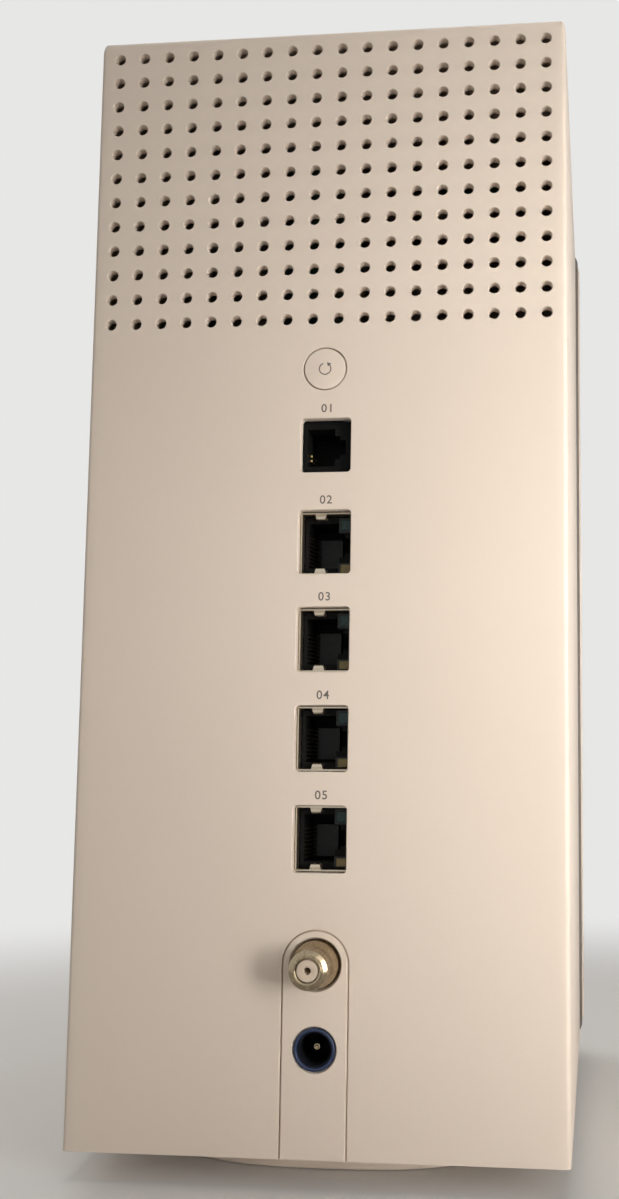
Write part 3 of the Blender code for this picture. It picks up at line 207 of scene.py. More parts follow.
def closed_mesh(name, points, faces, crease):
    """Smooth mesh from a patch, with a crease where it turns by more than so many degrees."""
    quads, triangles = fold_repeats(faces)
    mesh = bpy.data.meshes.new(name)
    mesh.from_pydata(points.tolist(), [], quads.tolist() + triangles.tolist())
    open_edges = clean_mesh(mesh)
    mesh.polygons.foreach_set("use_smooth", np.ones(len(mesh.polygons), bool))
    mesh.set_sharp_from_angle(angle=math.radians(crease))
    print(f"{name}: {len(mesh.vertices)} points, {len(mesh.polygons)} faces, {open_edges} open edges")
    return mesh


def add_piece(name, form, finish, body="casing", stands_for=None, crease=35.0):
    """Links a mesh or patch, lets it ride on its body, and hides the solid that it stands for. Its slot has
    the finish's name."""
    mesh = closed_mesh(name, *form, crease) if isinstance(form, tuple) else form
    piece = new_object(name, mesh)
    mesh.materials.append(FINISH[finish])
    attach(piece, body)
    if stands_for:
        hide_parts(stands_for)

# %% [markdown]
# ## Effects that several finishes share
#
# A moulded surface shows its grain from close by, drawn metal shows streaks, and everything
# gathers a little dust on what faces up. Each effect is a node group with named inputs, built once,
# and each finish places it with its own values. The patterns read Object coordinates in metres, so
# a grain keeps its real size on every piece.

# %% Helpers for nodes
def set_inputs(tree, node, inputs):
    """Sets inputs by label or number: a socket is linked, and any other value is written in."""
    for label, value in inputs.items():
        if isinstance(value, bpy.types.NodeSocket):
            tree.links.new(value, node.inputs[label])
        else:
            node.inputs[label].default_value = value


def add_node(tree, kind, inputs=None, **settings):
    """The outputs of a new shader node of a kind, with its settings and inputs."""
    node = tree.nodes.new("ShaderNode" + kind)
    for label, value in settings.items():
        setattr(node, label, value)
    set_inputs(tree, node, inputs or {})
    return node.outputs


def add_math(tree, operation, first, second=0.0, clamp=False):
    """A Math node; either operand may be a socket or a number."""
    return add_node(tree, "Math", {0: first, 1: second}, operation=operation, use_clamp=clamp)[0]


def add_clamped(tree, value, less, times):
    """The value less a number, times a number, kept within 0 and 1."""
    return add_math(tree, "MULTIPLY", add_math(tree, "SUBTRACT", value, less), times, clamp=True)


def add_noise(tree, vector, scale, detail=3.0):
    """A Noise Texture on the given coordinates; its scale may be a socket."""
    return add_node(tree, "TexNoise", {"Vector": vector, "Scale": scale, "Detail": detail})["Fac"]


def object_place(tree):
    """Object coordinates in metres."""
    return add_node(tree, "TexCoord")["Object"]


# %% Node groups
def new_group(name, inputs):
    """An empty shader group and its inputs, which map a label to its default number."""
    group = bpy.data.node_groups.new(name, "ShaderNodeTree")
    for label, value in inputs.items():
        socket = group.interface.new_socket(label, in_out="INPUT", socket_type="NodeSocketFloat")
        socket.default_value = value
    return group, group.nodes.new("NodeGroupInput").outputs


def close_group(group, outputs):
    """The group with its outputs, which map a label to the socket that it comes from."""
    for label in outputs:
        group.interface.new_socket(label, in_out="OUTPUT", socket_type="NodeSocketFloat")
    set_inputs(group, group.nodes.new("NodeGroupOutput"), outputs)
    return group


def make_grain_group():
    """Moulded grain: noise one grain wide for height, broad noise for slow changes of tone."""
    group, given = new_group("moulded_grain", {"Grain mm": 0.4, "Patch mm": 45.0})
    place = object_place(group)
    fine = add_math(group, "DIVIDE", 1 / MM, given["Grain mm"])
    broad = add_math(group, "DIVIDE", 1 / MM, given["Patch mm"])
    height = add_noise(group, place, fine, 2.0)
    fleck, patch = add_clamped(group, height, 0.55, 5.0), add_noise(group, place, broad)
    return close_group(group, {"Height": height, "Fleck": fleck, "Patch": patch})


def make_streak_group():
    """Drawn streaks: noise on coordinates that are squeezed along X, Y or Z."""
    group, given = new_group(
        "drawn_streaks", {"Along X": 1.0, "Along Y": 1.0, "Along Z": 0.04, "Streak mm": 0.25})
    squeeze = add_node(group, "CombineXYZ", {axis: given[f"Along {axis}"] for axis in "XYZ"})[0]
    place = add_node(group, "VectorMath", {0: object_place(group), 1: squeeze}, operation="MULTIPLY")
    scale = add_math(group, "DIVIDE", 1 / MM, given["Streak mm"])
    streak = add_noise(group, place[0], scale, 4.0)
    return close_group(group, {"Height": streak, "Shade": add_clamped(group, streak, 0.3, 2.2)})


def make_dust_group():
    """Settled dust: how far a face looks up, times broad noise, times the amount."""
    group, given = new_group("settled_dust", {"Amount": 0.2, "Speck mm": 3.0})
    normal = add_node(group, "NewGeometry")["Normal"]
    up = add_math(group, "MAXIMUM", add_node(group, "SeparateXYZ", {0: normal})["Z"], 0.0)
    scale = add_math(group, "DIVIDE", 1 / MM, given["Speck mm"])
    noise = add_noise(group, object_place(group), scale, 5.0)
    specks = add_math(group, "MULTIPLY", noise, 1.4, clamp=True)
    settled = add_math(group, "MULTIPLY", add_math(group, "POWER", up, 3.0), specks)
    return close_group(group, {"Mask": add_math(group, "MULTIPLY", settled, given["Amount"])})


GRAIN, STREAKS, DUST = make_grain_group(), make_streak_group(), make_dust_group()
print("shared effects:", ", ".join(group.name for group in (GRAIN, STREAKS, DUST)))


# %% [markdown]
# ## Finishes
#
# A finish is one Principled BSDF whose colour drifts between two near shades, whose roughness
# follows the same grain as its bump, and which takes some dust. Plastic and rubber use the grain,
# metal uses the streaks. What is the same all over is set on the shader itself.

# %% Build a finish from its colours and grain
PLASTIC_DUST, METAL_DUST = (0.62, 0.59, 0.55), (0.5, 0.48, 0.45)
FINISH = {}


def place_group(tree, group, **values):
    """The outputs of a placed group; an underscore stands for a space in an input's name."""
    inputs = {label.replace("_", " "): value for label, value in values.items()}
    return add_node(tree, "Group", inputs, node_tree=group)


def mix_colours(tree, mask, first, second):
    """Colour that goes from first to second with the mask; each is a socket or three numbers."""
    ends = [(*colour, 1.0) if isinstance(colour, tuple) else colour for colour in (first, second)]
    return add_node(tree, "Mix", {0: mask, 6: ends[0], 7: ends[1]}, data_type="RGBA")[2]


def spread(tree, value, low, high):
    """Maps a value from 0..1 to low..high."""
    return add_node(tree, "MapRange", {"Value": value, "To Min": low, "To Max": high})["Result"]


def bump(tree, height, depth_mm):
    """Normal from a height in 0..1 that stands for depth_mm millimetres."""
    return add_node(tree, "Bump", {"Distance": depth_mm * MM, "Height": height})["Normal"]


def new_finish(name):
    """Keeps a new node material under its name, and returns its tree and shader."""
    FINISH[name] = bpy.data.materials.new(name)
    FINISH[name].use_nodes = True
    tree = FINISH[name].node_tree
    return tree, tree.nodes["Principled BSDF"]


def moulded(name, light, dark, roughness, grain, depth, dust, patch, fleck, shine=0.5):
    """Moulded plastic or rubber: tone drifts by patch, flecks and roughness follow the grain."""
    tree, shader = new_finish(name)
    texture = place_group(tree, GRAIN, Grain_mm=grain, Patch_mm=patch)
    tone = mix_colours(tree, texture["Patch"], dark, light)
    flecks = add_math(tree, "MULTIPLY", texture["Fleck"], fleck)
    tone = mix_colours(tree, flecks, tone, tuple(0.86 * c for c in dark))
    settled = place_group(tree, DUST, Amount=dust)["Mask"]
    set_inputs(tree, shader, {
        "Base Color": mix_colours(tree, settled, tone, PLASTIC_DUST),
        "Roughness": spread(tree, texture["Height"], max(roughness - 0.08, 0.0), roughness + 0.08),
        "Normal": bump(tree, texture["Height"], depth),
        "Specular IOR Level": shine,
    })


def drawn(name, light, dark, roughness, along, streak, depth, dust):
    """Drawn, turned or plated metal: streaks set shade, roughness and bump."""
    tree, shader = new_finish(name)
    lines = place_group(
        tree, STREAKS, Along_X=along[0], Along_Y=along[1], Along_Z=along[2], Streak_mm=streak)
    tone = mix_colours(tree, lines["Shade"], dark, light)
    settled = place_group(tree, DUST, Amount=dust)["Mask"]
    set_inputs(tree, shader, {
        "Base Color": mix_colours(tree, settled, tone, METAL_DUST),
        "Roughness": spread(tree, lines["Height"], max(roughness - 0.1, 0.02), roughness + 0.1),
        "Normal": bump(tree, lines["Height"], depth),
        "Metallic": 1.0,
    })


# %% [markdown]
# ## Finishes of the casing and the sockets
#
# The casing is a warm off-white plastic with a fine matte grain. The socket inserts are black, the
# shields are tin plate, and the coax connector is nickel, which is a little yellow. Inner parts
# show through the vents and openings, so they get the same care.

# %% Moulded finishes
# light, dark, roughness, grain mm, bump mm, dust, patch mm, fleck and, where it isn't 0.5, shine
MOULDED = {
    "shell_plastic": ((0.78, 0.67, 0.57), (0.73, 0.62, 0.52), 0.52, 0.35, 0.012, 0.12, 70.0, 0.12),
    # trim plastic of the seam band: a real trim, whose dark tone is partly painted shade for the shaded
    # step at the seam
    "trim_plastic": ((0.17, 0.145, 0.125), (0.13, 0.11, 0.095), 0.6, 0.3, 0.01, 0.25, 30.0, 0.25),
    "rubber_pad": ((0.045, 0.044, 0.043), (0.03, 0.03, 0.03), 0.85, 0.8, 0.06, 0.2, 15.0, 0.5),
    "black_plastic": ((0.009,) * 3, (0.005,) * 3, 0.5, 0.2, 0.006, 0.005, 6.0, 0.25, 0.06),
    "grey_plastic": ((0.25, 0.26, 0.27), (0.19, 0.20, 0.21), 0.6, 0.4, 0.015, 0.1, 25.0, 0.25),
    "blue_plastic": ((0.02, 0.038, 0.098), (0.011, 0.022, 0.062), 0.38, 0.25, 0.006, 0.05, 4.0, 0.25),
    "insulator": ((0.66, 0.55, 0.43), (0.58, 0.47, 0.36), 0.5, 0.25, 0.006, 0.1, 3.0, 0.25),
    "chip_resin": ((0.028, 0.028, 0.03), (0.018, 0.018, 0.02), 0.62, 0.15, 0.01, 0.1, 8.0, 0.6),
    "heat_pad": ((0.38, 0.43, 0.54), (0.31, 0.36, 0.47), 0.9, 0.6, 0.03, 0.1, 10.0, 0.25),
    "lead_jacket": ((0.06, 0.06, 0.062), (0.04, 0.04, 0.042), 0.45, 0.3, 0.005, 0.1, 12.0, 0.25),
    "ink": ((0.155, 0.13, 0.11), (0.125, 0.105, 0.09), 0.6, 0.12, 0.002, 0.0, 3.0, 0.3),
    "deep_black": ((0.004, 0.005, 0.01), (0.002, 0.003, 0.006), 0.8, 0.2, 0.004, 0.0, 2.0, 0.0, 0.2),
    "frame_plastic": ((0.04, 0.046, 0.045), (0.026, 0.03, 0.03), 0.5, 0.15, 0.004, 0.02, 2.0, 0.25, 0.2),
    "teal_window": ((0.02, 0.062, 0.058), (0.008, 0.026, 0.026), 0.25, 0.3, 0.003, 0.0, 1.2, 0.0, 0.3),
    "amber_window": ((0.30, 0.22, 0.055), (0.13, 0.10, 0.03), 0.25, 0.3, 0.003, 0.0, 1.4, 0.0),
}
for name, row in MOULDED.items():
    moulded(name, *row)

# %% Metal finishes
# light, dark, roughness, squeeze along X, Y and Z, streak mm, bump mm, dust
DRAWN = {
    "tin_plate": ((0.70, 0.62, 0.50), (0.50, 0.43, 0.33), 0.34, (1.0, 0.05, 1.0), 0.3, 0.006, 0.03),
    "nickel": ((0.46, 0.38, 0.26), (0.28, 0.22, 0.14), 0.18, (1.0, 0.08, 1.0), 0.5, 0.003, 0.03),
    "gold_plate": ((0.95, 0.72, 0.36), (0.85, 0.58, 0.24), 0.25, (1.0, 0.1, 1.0), 0.2, 0.006, 0.03),
    "screw_steel": ((0.62, 0.61, 0.60), (0.45, 0.45, 0.46), 0.36, (1.0, 1.0, 0.2), 0.3, 0.006, 0.1),
    "heatsink_aluminium": ((0.74, 0.75, 0.76), (0.6, 0.61, 0.63), 0.42, (1.0, 1.0, 0.01), 0.5, 0.012, 0.15),
    # finish of the contact wires: gold plate painted dark, as painted shade for the cavity they lie in
    "gold_wire_painted_shade": ((0.16, 0.13, 0.08), (0.10, 0.08, 0.05), 0.4, (1.0, 0.1, 1.0), 0.2, 0.006, 0.03),
}
for name, row in DRAWN.items():
    drawn(name, *row)
print("moulded finishes:", len(MOULDED), "and metal finishes:", len(DRAWN))


# %% [markdown]
# ## Circuit boards
#
# A board shows copper tracks as lighter lines under green lacquer. The mortar of a Brick Texture
# gives lines that turn at right angles; its mask lightens the lacquer and lifts it a little. A
# second, finer one stands for the pads.

# %% Board finish
def tracked_board(name, lacquer, copper):
    """Lacquered board: the mortar lines of two brick patterns, in the YZ plane, are the tracks."""
    tree, shader = new_finish(name)
    place = add_node(tree, "SeparateXYZ", {0: object_place(tree)})
    along = add_math(tree, "ADD", place["Y"], place["X"])
    flat = add_node(tree, "CombineXYZ", {"X": along, "Y": place["Z"]})[0]
    tracks, pads = (
        add_node(tree, "TexBrick", {"Scale": scale, "Mortar Size": thin, "Vector": flat})["Fac"]
        for scale, thin in ((160.0, 0.012), (420.0, 0.03)))
    lines = add_math(tree, "MAXIMUM", tracks, pads)
    texture = place_group(tree, GRAIN, Grain_mm=0.3, Patch_mm=20.0)
    tone = mix_colours(tree, lines, lacquer, copper)
    shade = add_math(tree, "MULTIPLY", texture["Patch"], 0.4)
    set_inputs(tree, shader, {
        "Base Color": mix_colours(tree, shade, tone, tuple(0.6 * c for c in lacquer)),
        "Roughness": spread(tree, texture["Height"], 0.3, 0.5),
        "Normal": bump(tree, lines, 0.03),
    })


tracked_board("circuit_board", (0.018, 0.11, 0.055), (0.05, 0.20, 0.10))


# %% [markdown]
# ## Light bar
#
# The status light's window is milky plastic. The light is off, so it has no glow, only a pale body
# with a soft shadow towards its ends.

# %% Light bar finish
def milky_window(name, pale, shadow, half_length):
    """Milky plastic whose tone falls from pale to shadow with the distance from the middle in X."""
    tree, shader = new_finish(name)
    aside = add_node(tree, "SeparateXYZ", {0: object_place(tree)})["X"]
    away = add_math(tree, "DIVIDE", add_math(tree, "ABSOLUTE", aside), half_length)
    texture = place_group(tree, GRAIN, Grain_mm=0.2, Patch_mm=8.0)
    set_inputs(tree, shader, {
        "Base Color": mix_colours(tree, add_math(tree, "POWER", away, 2.0, clamp=True), pale, shadow),
        "Roughness": spread(tree, texture["Patch"], 0.25, 0.4),
        "Normal": bump(tree, texture["Height"], 0.003),
    })


milky_window("light_plastic", (0.82, 0.83, 0.84), (0.62, 0.63, 0.65), reach("light_bar", 0)[1])

# %% Give every solid the finish of its slot
for part in frame["record"]["subparts"]:
    solid = nodes[part["node"]]
    solid.data.materials.clear()
    solid.data.materials.append(FINISH[part["material_slot"]])

# %% [markdown]
# ## Rear housing
#
# The housing is a thin shell with soft edges and 216 round vents. Booleans would cut ragged
# triangles round so many holes. Instead, one network of points is worked out twice, for the outer
# skin and, 2.5 mm further in, for the inner skin. Wherever the network has a border, at a hole or
# along a rim, walls join the two skins. Each hole sits in a rectangular tile, whose frame has as
# many points as the hole's outline, so a ring of four-cornered faces fills the space between them.

# %% Tiles: frames, outlines and the rings between them
def unit_loop(across, down):
    """Points round the square from -1 to 1, clockwise from its upper left corner."""
    a, d = np.arange(across) / across * 2 - 1, np.arange(down) / down * 2 - 1
    top, right = packed(a, 1.0), packed(1.0, -d)
    return np.concatenate([top, right, -top, -right])


def rounded_loop(half_w, half_h, radius, across, down, corner):
    """Rounded rectangle in unit_loop's order: each side takes half of the arc at either end. corner
    is the number of steps in half an arc, or a pair: across and down."""
    sides = []
    for turn, (count, along, out) in enumerate([(across, half_w, half_h), (down, half_h, half_w)] * 2):
        steps = np.broadcast_to(corner, 2)[turn % 2]
        stops = [0, steps, count - steps, count]
        angle = np.radians(np.interp(np.arange(count), stops, [135, 90, 90, 45]))
        straight = np.interp(np.arange(count), stops, [-1, -1, 1, 1]) * (along - radius)
        side = packed(straight, out - radius) + radius * polar(angle)
        sides.append(side @ np.linalg.matrix_power(np.array([[0, -1], [1, 0]]), turn))
    return np.concatenate(sides)


def round_loop(radius, across, down):
    """Circle with unit_loop's count of points, all at equal angles."""
    return rounded_loop(radius, radius, radius, across, down, across // 2)


def divided(edges, counts):
    """Every stretch between two edges cut into its count of equal steps."""
    stops = np.concatenate([[0], np.cumsum(counts)])
    return np.interp(np.arange(stops[-1] + 1), stops, edges)


def tile_frames(x_edges, z_edges, loop):
    """The loop fitted to every tile between the edges, row by row: (tiles, points, 2)."""
    edges = np.array(x_edges), np.array(z_edges)
    centre = packed(*np.meshgrid(*((edge[:-1] + edge[1:]) / 2 for edge in edges)))
    half = packed(*np.meshgrid(*(np.abs(np.diff(edge)) / 2 for edge in edges)))
    return centre.reshape(-1, 1, 2) + half.reshape(-1, 1, 2) * loop


def on_panel(flat_points, y):
    """Points (x, z) lifted into the upright plane at y."""
    return np.insert(flat_points, 1, y, axis=-1)


def ring_patches(frames, outlines, y):
    """One patch with a ring of faces for each pair of loops; both arrays are (tiles, points, 2)."""
    count, points = frames.shape[:2]
    rings = on_panel(np.stack([frames, outlines], axis=1), y).reshape(-1, 3)
    ring = grid_faces(2, points, close_columns=True)
    return rings, (ring[None] + 2 * points * np.arange(count)[:, None, None]).reshape(-1, 4)


print("points round a vent:", len(unit_loop(4, 4)), "and round a window:", len(unit_loop(16, 8)))

# %% Lines of the network, shared by both skins
VENT_ROWS, VENT_COLUMNS, VENT_RADIUS, VENT_TOP = 12, 18, 1.45 * MM, 5.1 * MM
VENT_FIELD_HALF, ROLL_HEIGHT, LIP = 59.4 * MM, 3.3 * MM, 0.15 * MM
PHONE_TOP, PHONE_FOOT, SLOT_TOP, NETWORK_PITCH = 194.5 * MM, 172.4 * MM, 70.0 * MM, 25.0 * MM
PITCH_X, PITCH_Z = 0.054 * 2 * PANEL_HALF, 0.02328 * (TOP_Z - BASE_Z)
ROLL_Z = TOP_Z - ROLL_HEIGHT
column_x = PITCH_X * (np.arange(VENT_COLUMNS) - (VENT_COLUMNS - 1) / 2)
row_z = TOP_Z - VENT_TOP - PITCH_Z * np.arange(VENT_ROWS)
column_edges = PITCH_X * (np.arange(VENT_COLUMNS + 1) - VENT_COLUMNS / 2)
column_edges[[0, -1]] = [-VENT_FIELD_HALF, VENT_FIELD_HALF]
row_edges = np.append(row_z + PITCH_Z / 2, row_z[-1] - PITCH_Z / 2)
row_edges[0] = ROLL_Z
CORE = column_edges[[7, 11]]
window_edges = np.array([row_edges[-1], PHONE_TOP, PHONE_FOOT,
                         *(NETWORK[0][2] - (0.5 + np.arange(3)) * NETWORK_PITCH), SLOT_TOP])
window_steps = [16, 8, 8, 8, 8, 8]
foot_z = divided([SLOT_TOP, COAX[2], BASE_Z], [6, 10])
vent_z = divided(row_edges, [4] * VENT_ROWS)
z_lines = np.concatenate([vent_z[:-1], divided(window_edges, window_steps)[:-1], foot_z])
vent_frames = tile_frames(column_edges, row_edges, unit_loop(4, 4))
vent_middles = packed(*np.meshgrid(column_x, row_z)).reshape(-1, 1, 2)
print("lines down:", len(z_lines), "vents:", len(vent_frames))
print("window edges mm:", (window_edges / MM).round(1))

# %% One skin of the housing
BUTTON_HOLE, SLOT_RADIUS, WINDOW_CORNER = 5.7 * MM, 8.4 * MM, 1.0 * MM
PHONE_WINDOW, NETWORK_WINDOW = (6.5 * MM, 7.1 * MM), (6.8 * MM, 8.3 * MM)
WALL_STOPS = np.array([4, 8, 30, 60, 90, 120, 138]) * MM


def window_outlines(lip):
    """Outlines of the button's hole and the five windows, from the top down."""
    outlines = [round_loop(BUTTON_HOLE + lip, 16, 16) + BUTTON[[0, 2]]]
    for socket, (half_w, half_h) in [(PHONE, PHONE_WINDOW)] + [(s, NETWORK_WINDOW) for s in NETWORK]:
        outlines.append(socket[[0, 2]] + rounded_loop(
            half_w + lip, half_h + lip, WINDOW_CORNER + lip, 16, 8, 3))
    return outlines


def slot_patch(lip, y):
    """Tile round the tongue's slot, open at the bottom: up the left, over the arch, down the right."""
    climb = foot_z[::-1]
    frame_x = np.concatenate([np.full(16, CORE[0]), divided(CORE, [16]), np.full(16, CORE[1])])
    frame_z = np.concatenate([climb[:-1], np.full(17, climb[-1]), climb[-2::-1]])
    angle = np.radians(divided([180, 135, 45, 0], [6, 16, 6]))
    arch = polar(angle) * (SLOT_RADIUS + lip) + COAX[[0, 2]]
    left, right = packed(arch[0, 0], climb[:10]), packed(arch[-1, 0], climb[9::-1])
    slot_line = np.concatenate([left, arch, right])
    return grid_patch(on_panel(np.stack([packed(frame_x, frame_z), slot_line]), y))


def housing_skin(inset, upright, roll, side_roll, lip):
    """All patches of one skin, inset from the outside; lip widens its holes. Side walls stand at
    half(y), which grows with y. An arc of radius upright joins panel and side. Above ROLL_Z the
    walls bend over to the top along quarter ellipses."""
    back, top = REAR_Y + inset, TOP_Z - inset
    slope = math.atan2(SEAM_HALF - PANEL_HALF, SEAM_Y - REAR_Y)

    def half(y):
        return PANEL_HALF + (y - REAR_Y) * math.tan(slope) - inset / math.cos(slope)

    # Vents, then the middle column: button, phone and network windows, and the tongue's slot.
    flat = half(back) - upright * math.tan(math.pi / 4 - slope / 2)
    patches = [ring_patches(vent_frames, vent_middles + round_loop(VENT_RADIUS + lip, 4, 4), back)]
    for outline, high, low, down in zip(
            window_outlines(lip), window_edges, window_edges[1:], window_steps):
        frames = tile_frames(CORE, [high, low], unit_loop(16, down))
        patches.append(ring_patches(frames, outline[None], back))
    patches.append(slot_patch(lip, back))

    # Plain areas beside the column and beside the vents, then the side walls.
    beside = np.concatenate([[-flat], divided(column_edges[:8], [4] * 7)])
    for sign in (-1, 1):
        for x_lines, z_part in ((beside, z_lines[len(vent_z) - 1:]), (beside[:2], vent_z)):
            patches.append(grid_patch(packed(-sign * x_lines, back, z_part[:, None])))
    turn = np.linspace(0, math.pi / 2 - slope, 5)
    y_lines = np.append(REAR_Y + WALL_STOPS, SEAM_Y)
    wall_x = np.concatenate([flat + upright * np.sin(turn), half(y_lines)])
    wall_y = np.concatenate([back + upright * (1 - np.cos(turn)), y_lines])
    for sign in (-1, 1):
        patches.append(grid_patch(packed(sign * wall_x[:, None], wall_y[:, None], z_lines)))

    # Roll over to the top, then the top itself.
    panel_x = np.concatenate([[-flat], divided(column_edges, [4] * VENT_COLUMNS), [flat]])
    rim_x = np.concatenate([-wall_x[:0:-1], panel_x, wall_x[1:]])
    rim_y = np.concatenate([wall_y[:0:-1], np.full(panel_x.size, back), wall_y[1:]])
    top_y = np.maximum(rim_y, back + roll)
    beyond = top_y > back + roll
    top_x = np.where(beyond, np.sign(rim_x) * (half(top_y) - side_roll), np.clip(rim_x, -flat, flat))
    bend = np.linspace(0, math.pi / 2, 6)[:, None]
    over, up = 1 - np.cos(bend), np.sin(bend)
    patches.append(grid_patch(packed(
        rim_x + (top_x - rim_x) * over, rim_y + (top_y - rim_y) * over, ROLL_Z + (top - ROLL_Z) * up)))
    share = np.append(1.0, (half(y_lines) - side_roll) / flat)[:, None]
    top_rows = np.append(back + roll, y_lines)[:, None]
    patches.append(grid_patch(packed(share * panel_x, top_rows, top)))
    return patches


outer_skin = join_patches(housing_skin(0.0, 1.2 * MM, 1.2 * MM, 1.2 * MM, LIP))
inner_skin = join_patches(housing_skin(WALL, 0.4 * MM, 0.5 * MM, 0.4 * MM, 0.0))
print("points in each skin:", len(outer_skin[0]), len(inner_skin[0]))


# %% Join the skins
def merge_equal(points, faces, others, grain=0.0001 * MM):
    """Keeps one of each group of equal points; others is picked in the same order."""
    _, first, place = np.unique(
        np.round(points / grain + 0.37), axis=0, return_index=True, return_inverse=True)
    return points[first], place.reshape(-1)[faces], others[first]


def border_edges(faces):
    """Edges that only one face uses."""
    ends = packed(faces, np.roll(faces, -1, axis=1)).reshape(-1, 2)
    ends = ends[ends[:, 0] != ends[:, 1]]
    _, place, count = np.unique(
        np.sort(ends, axis=1), axis=0, return_inverse=True, return_counts=True)
    return ends[count[place.reshape(-1)] == 1]


def join_skins(outer, inner, between, faces):
    """Both skins, and two rows of wall faces along their border through the points between."""
    count = len(outer)
    a, b = border_edges(faces).T
    walls = [packed(a + k, b + k, b + k + count, a + k + count) for k in (0, count)]
    points = np.concatenate([outer, between, inner])
    used, place = np.unique(np.concatenate([faces, faces + 2 * count, *walls]), return_inverse=True)
    return points[used], place.reshape(-1, 4)


outer, shell_faces, inner = merge_equal(*outer_skin, inner_skin[0])
near = 0.01 * MM
in_slot = np.abs(outer[:, 0]) < 9.5 * MM
at_hole = (np.abs(outer[:, 1] - REAR_Y) < near) & ((outer[:, 2] > BASE_Z + near) | in_slot)
below_panel = packed(inner[:, 0], REAR_Y + LIP, inner[:, 2])
between = np.where(at_hole[:, None], below_panel, (outer + inner) / 2)
add_piece("rear_shell", join_skins(outer, inner, between, shell_faces), "shell_plastic",
          stands_for="rear_housing")

# %% [markdown]
# ## Turned, bent and printed parts
#
# Round parts are profiles turned about a line along Y. Spring fingers and contact wires are strips
# that follow a path, and prints are very thin plates. A profile's corners are first rounded with
# short parabolas, because a perfectly sharp edge never catches a highlight.

# %% Helpers
def soften(stops, by, steps=4):
    """Line through stops whose inner corners are parabolas that start by before each corner."""
    stops = np.array(stops, float)
    corner = stops[1:-1]
    by = np.reshape(by, (-1, 1))

    def towards(neighbour):
        gap = neighbour - corner
        length = np.linalg.norm(gap, axis=1, keepdims=True)
        return corner + gap / length * np.minimum(by, length / 2)

    first, last = towards(stops[:-2])[:, None], towards(stops[2:])[:, None]
    t = np.linspace(0, 1, steps)[None, :, None]
    curve = (1 - t) ** 2 * first + 2 * t * (1 - t) * corner[:, None] + t ** 2 * last
    return np.concatenate([stops[:1], curve.reshape(-1, stops.shape[1]), stops[-1:]])


def full_turn(sides):
    """Equal angles once round."""
    return np.arange(sides) / sides * 2 * math.pi


def turned(profile, centre, closed=False, sides=64, ridge=0.0):
    """Profile (radius, y) in mm, turned: (r, y) goes to (x + r cos a, y, z + r sin a) for equal
    angles a about centre (x, z). A closed profile gives a ring. The ridge adds to the radius."""
    radius, y = np.array(profile, float).T[:, :, None]
    angle, radius = full_turn(sides), (radius + ridge) * MM
    grid = packed(centre[0] + radius * np.cos(angle), y * MM, centre[1] + radius * np.sin(angle))
    return grid_patch(grid, close_rows=closed, close_columns=True)


def capped(rows):
    """Four long edges of shape (4, points, 3), closed into a bar with a face at either end."""
    points, faces = grid_patch(rows, close_rows=True)
    ends = np.arange(4) * rows.shape[1]
    return points, np.concatenate([faces, [ends, ends + rows.shape[1] - 1]])


def flat_strip(left, right, y_front, y_back):
    """Plate between two lines (x, z) of equal length."""
    edges = (left, y_front), (right, y_front), (right, y_back), (left, y_back)
    return capped(np.stack([on_panel(*edge) for edge in edges]))


def bent_strip(path, across, thickness):
    """Strip along a path: across is half its width as one or more vectors, and its thickness lies
    along the cross product of the path's direction and across."""
    up = np.cross(np.gradient(path, axis=0), across)
    up *= thickness / 2 / np.linalg.norm(up, axis=1, keepdims=True)
    return capped(np.stack([path - across + up, path + across + up,
                            path + across - up, path - across - up]))


def plate(origin, spans, radius, soft):
    """Rounded plate whose front edge is bevelled by soft. Its left, right, lower, upper, front and
    back ends are in mm from the origin, and so are its corner radius and bevel."""
    x0, x1, z0, z1, y_front, y_back = np.array(spans) * MM + np.array(origin)[[0, 0, 2, 2, 1, 1]]
    radius, soft = radius * MM, soft * MM
    centre = np.array([(x0 + x1) / 2, (z0 + z1) / 2])

    def outline(less):
        return centre + rounded_loop((x1 - x0) / 2 - less, (z1 - z0) / 2 - less,
                                     max(radius - less, 0.01 * MM), 8, 8, 3)

    end = np.tile(centre, (32, 1))
    layers = [(end, y_front), (outline(soft), y_front), (outline(0), y_front + soft),
              (outline(0), y_back), (end, y_back)]
    return grid_patch(np.stack([on_panel(*layer) for layer in layers]), close_columns=True)


print("a softened corner has", len(soften([(0, 0), (1, 0), (1, 1)], 0.2)) - 2, "points")


# %% [markdown]
# ## Reset button
#
# The button is a turned cap, flush with the panel, with a flange that keeps it in and a stem that
# reaches the switch. Its mark is a plain round arrow.

# %% Button cap and its mark
BUTTON_XZ = BUTTON[[0, 2]]
low, high = reach("reset_button", 1) / MM
cap_profile = soften(
    [(0, low + 0.06), (5.4, low), (5.4, low + 2.8), (7.0, low + 2.8), (7.0, low + 3.8),
     (2.0, low + 3.8), (2.0, high), (0, high)], [0.3, 0.05, 0.1, 0.1, 0.1, 0.2])
add_piece("button_cap", turned(cap_profile, BUTTON_XZ, sides=96), "shell_plastic", body="button",
          stands_for="reset_button")

MARK_RADIUS, MARK_HALF, HEAD_HALF, HEAD_LENGTH = 1.5 * MM, 0.15 * MM, 0.6 * MM, 1.0 * MM
print_y = REAR_Y + np.array([0.01, 0.10]) * MM
circle = polar(np.radians(np.linspace(110, 400, 60)))
tip = circle[-1] * MARK_RADIUS + np.array([-circle[-1, 1], circle[-1, 0]]) * HEAD_LENGTH
arc = flat_strip(*(BUTTON_XZ + circle * (MARK_RADIUS + side * MARK_HALF) for side in (-1, 1)), *print_y)
head = flat_strip(*(BUTTON_XZ + np.stack([circle[-1] * (MARK_RADIUS + side * HEAD_HALF), tip])
                    for side in (-1, 1)), *print_y)
add_piece("button_mark", join_patches([arc, head]), "ink", "button")


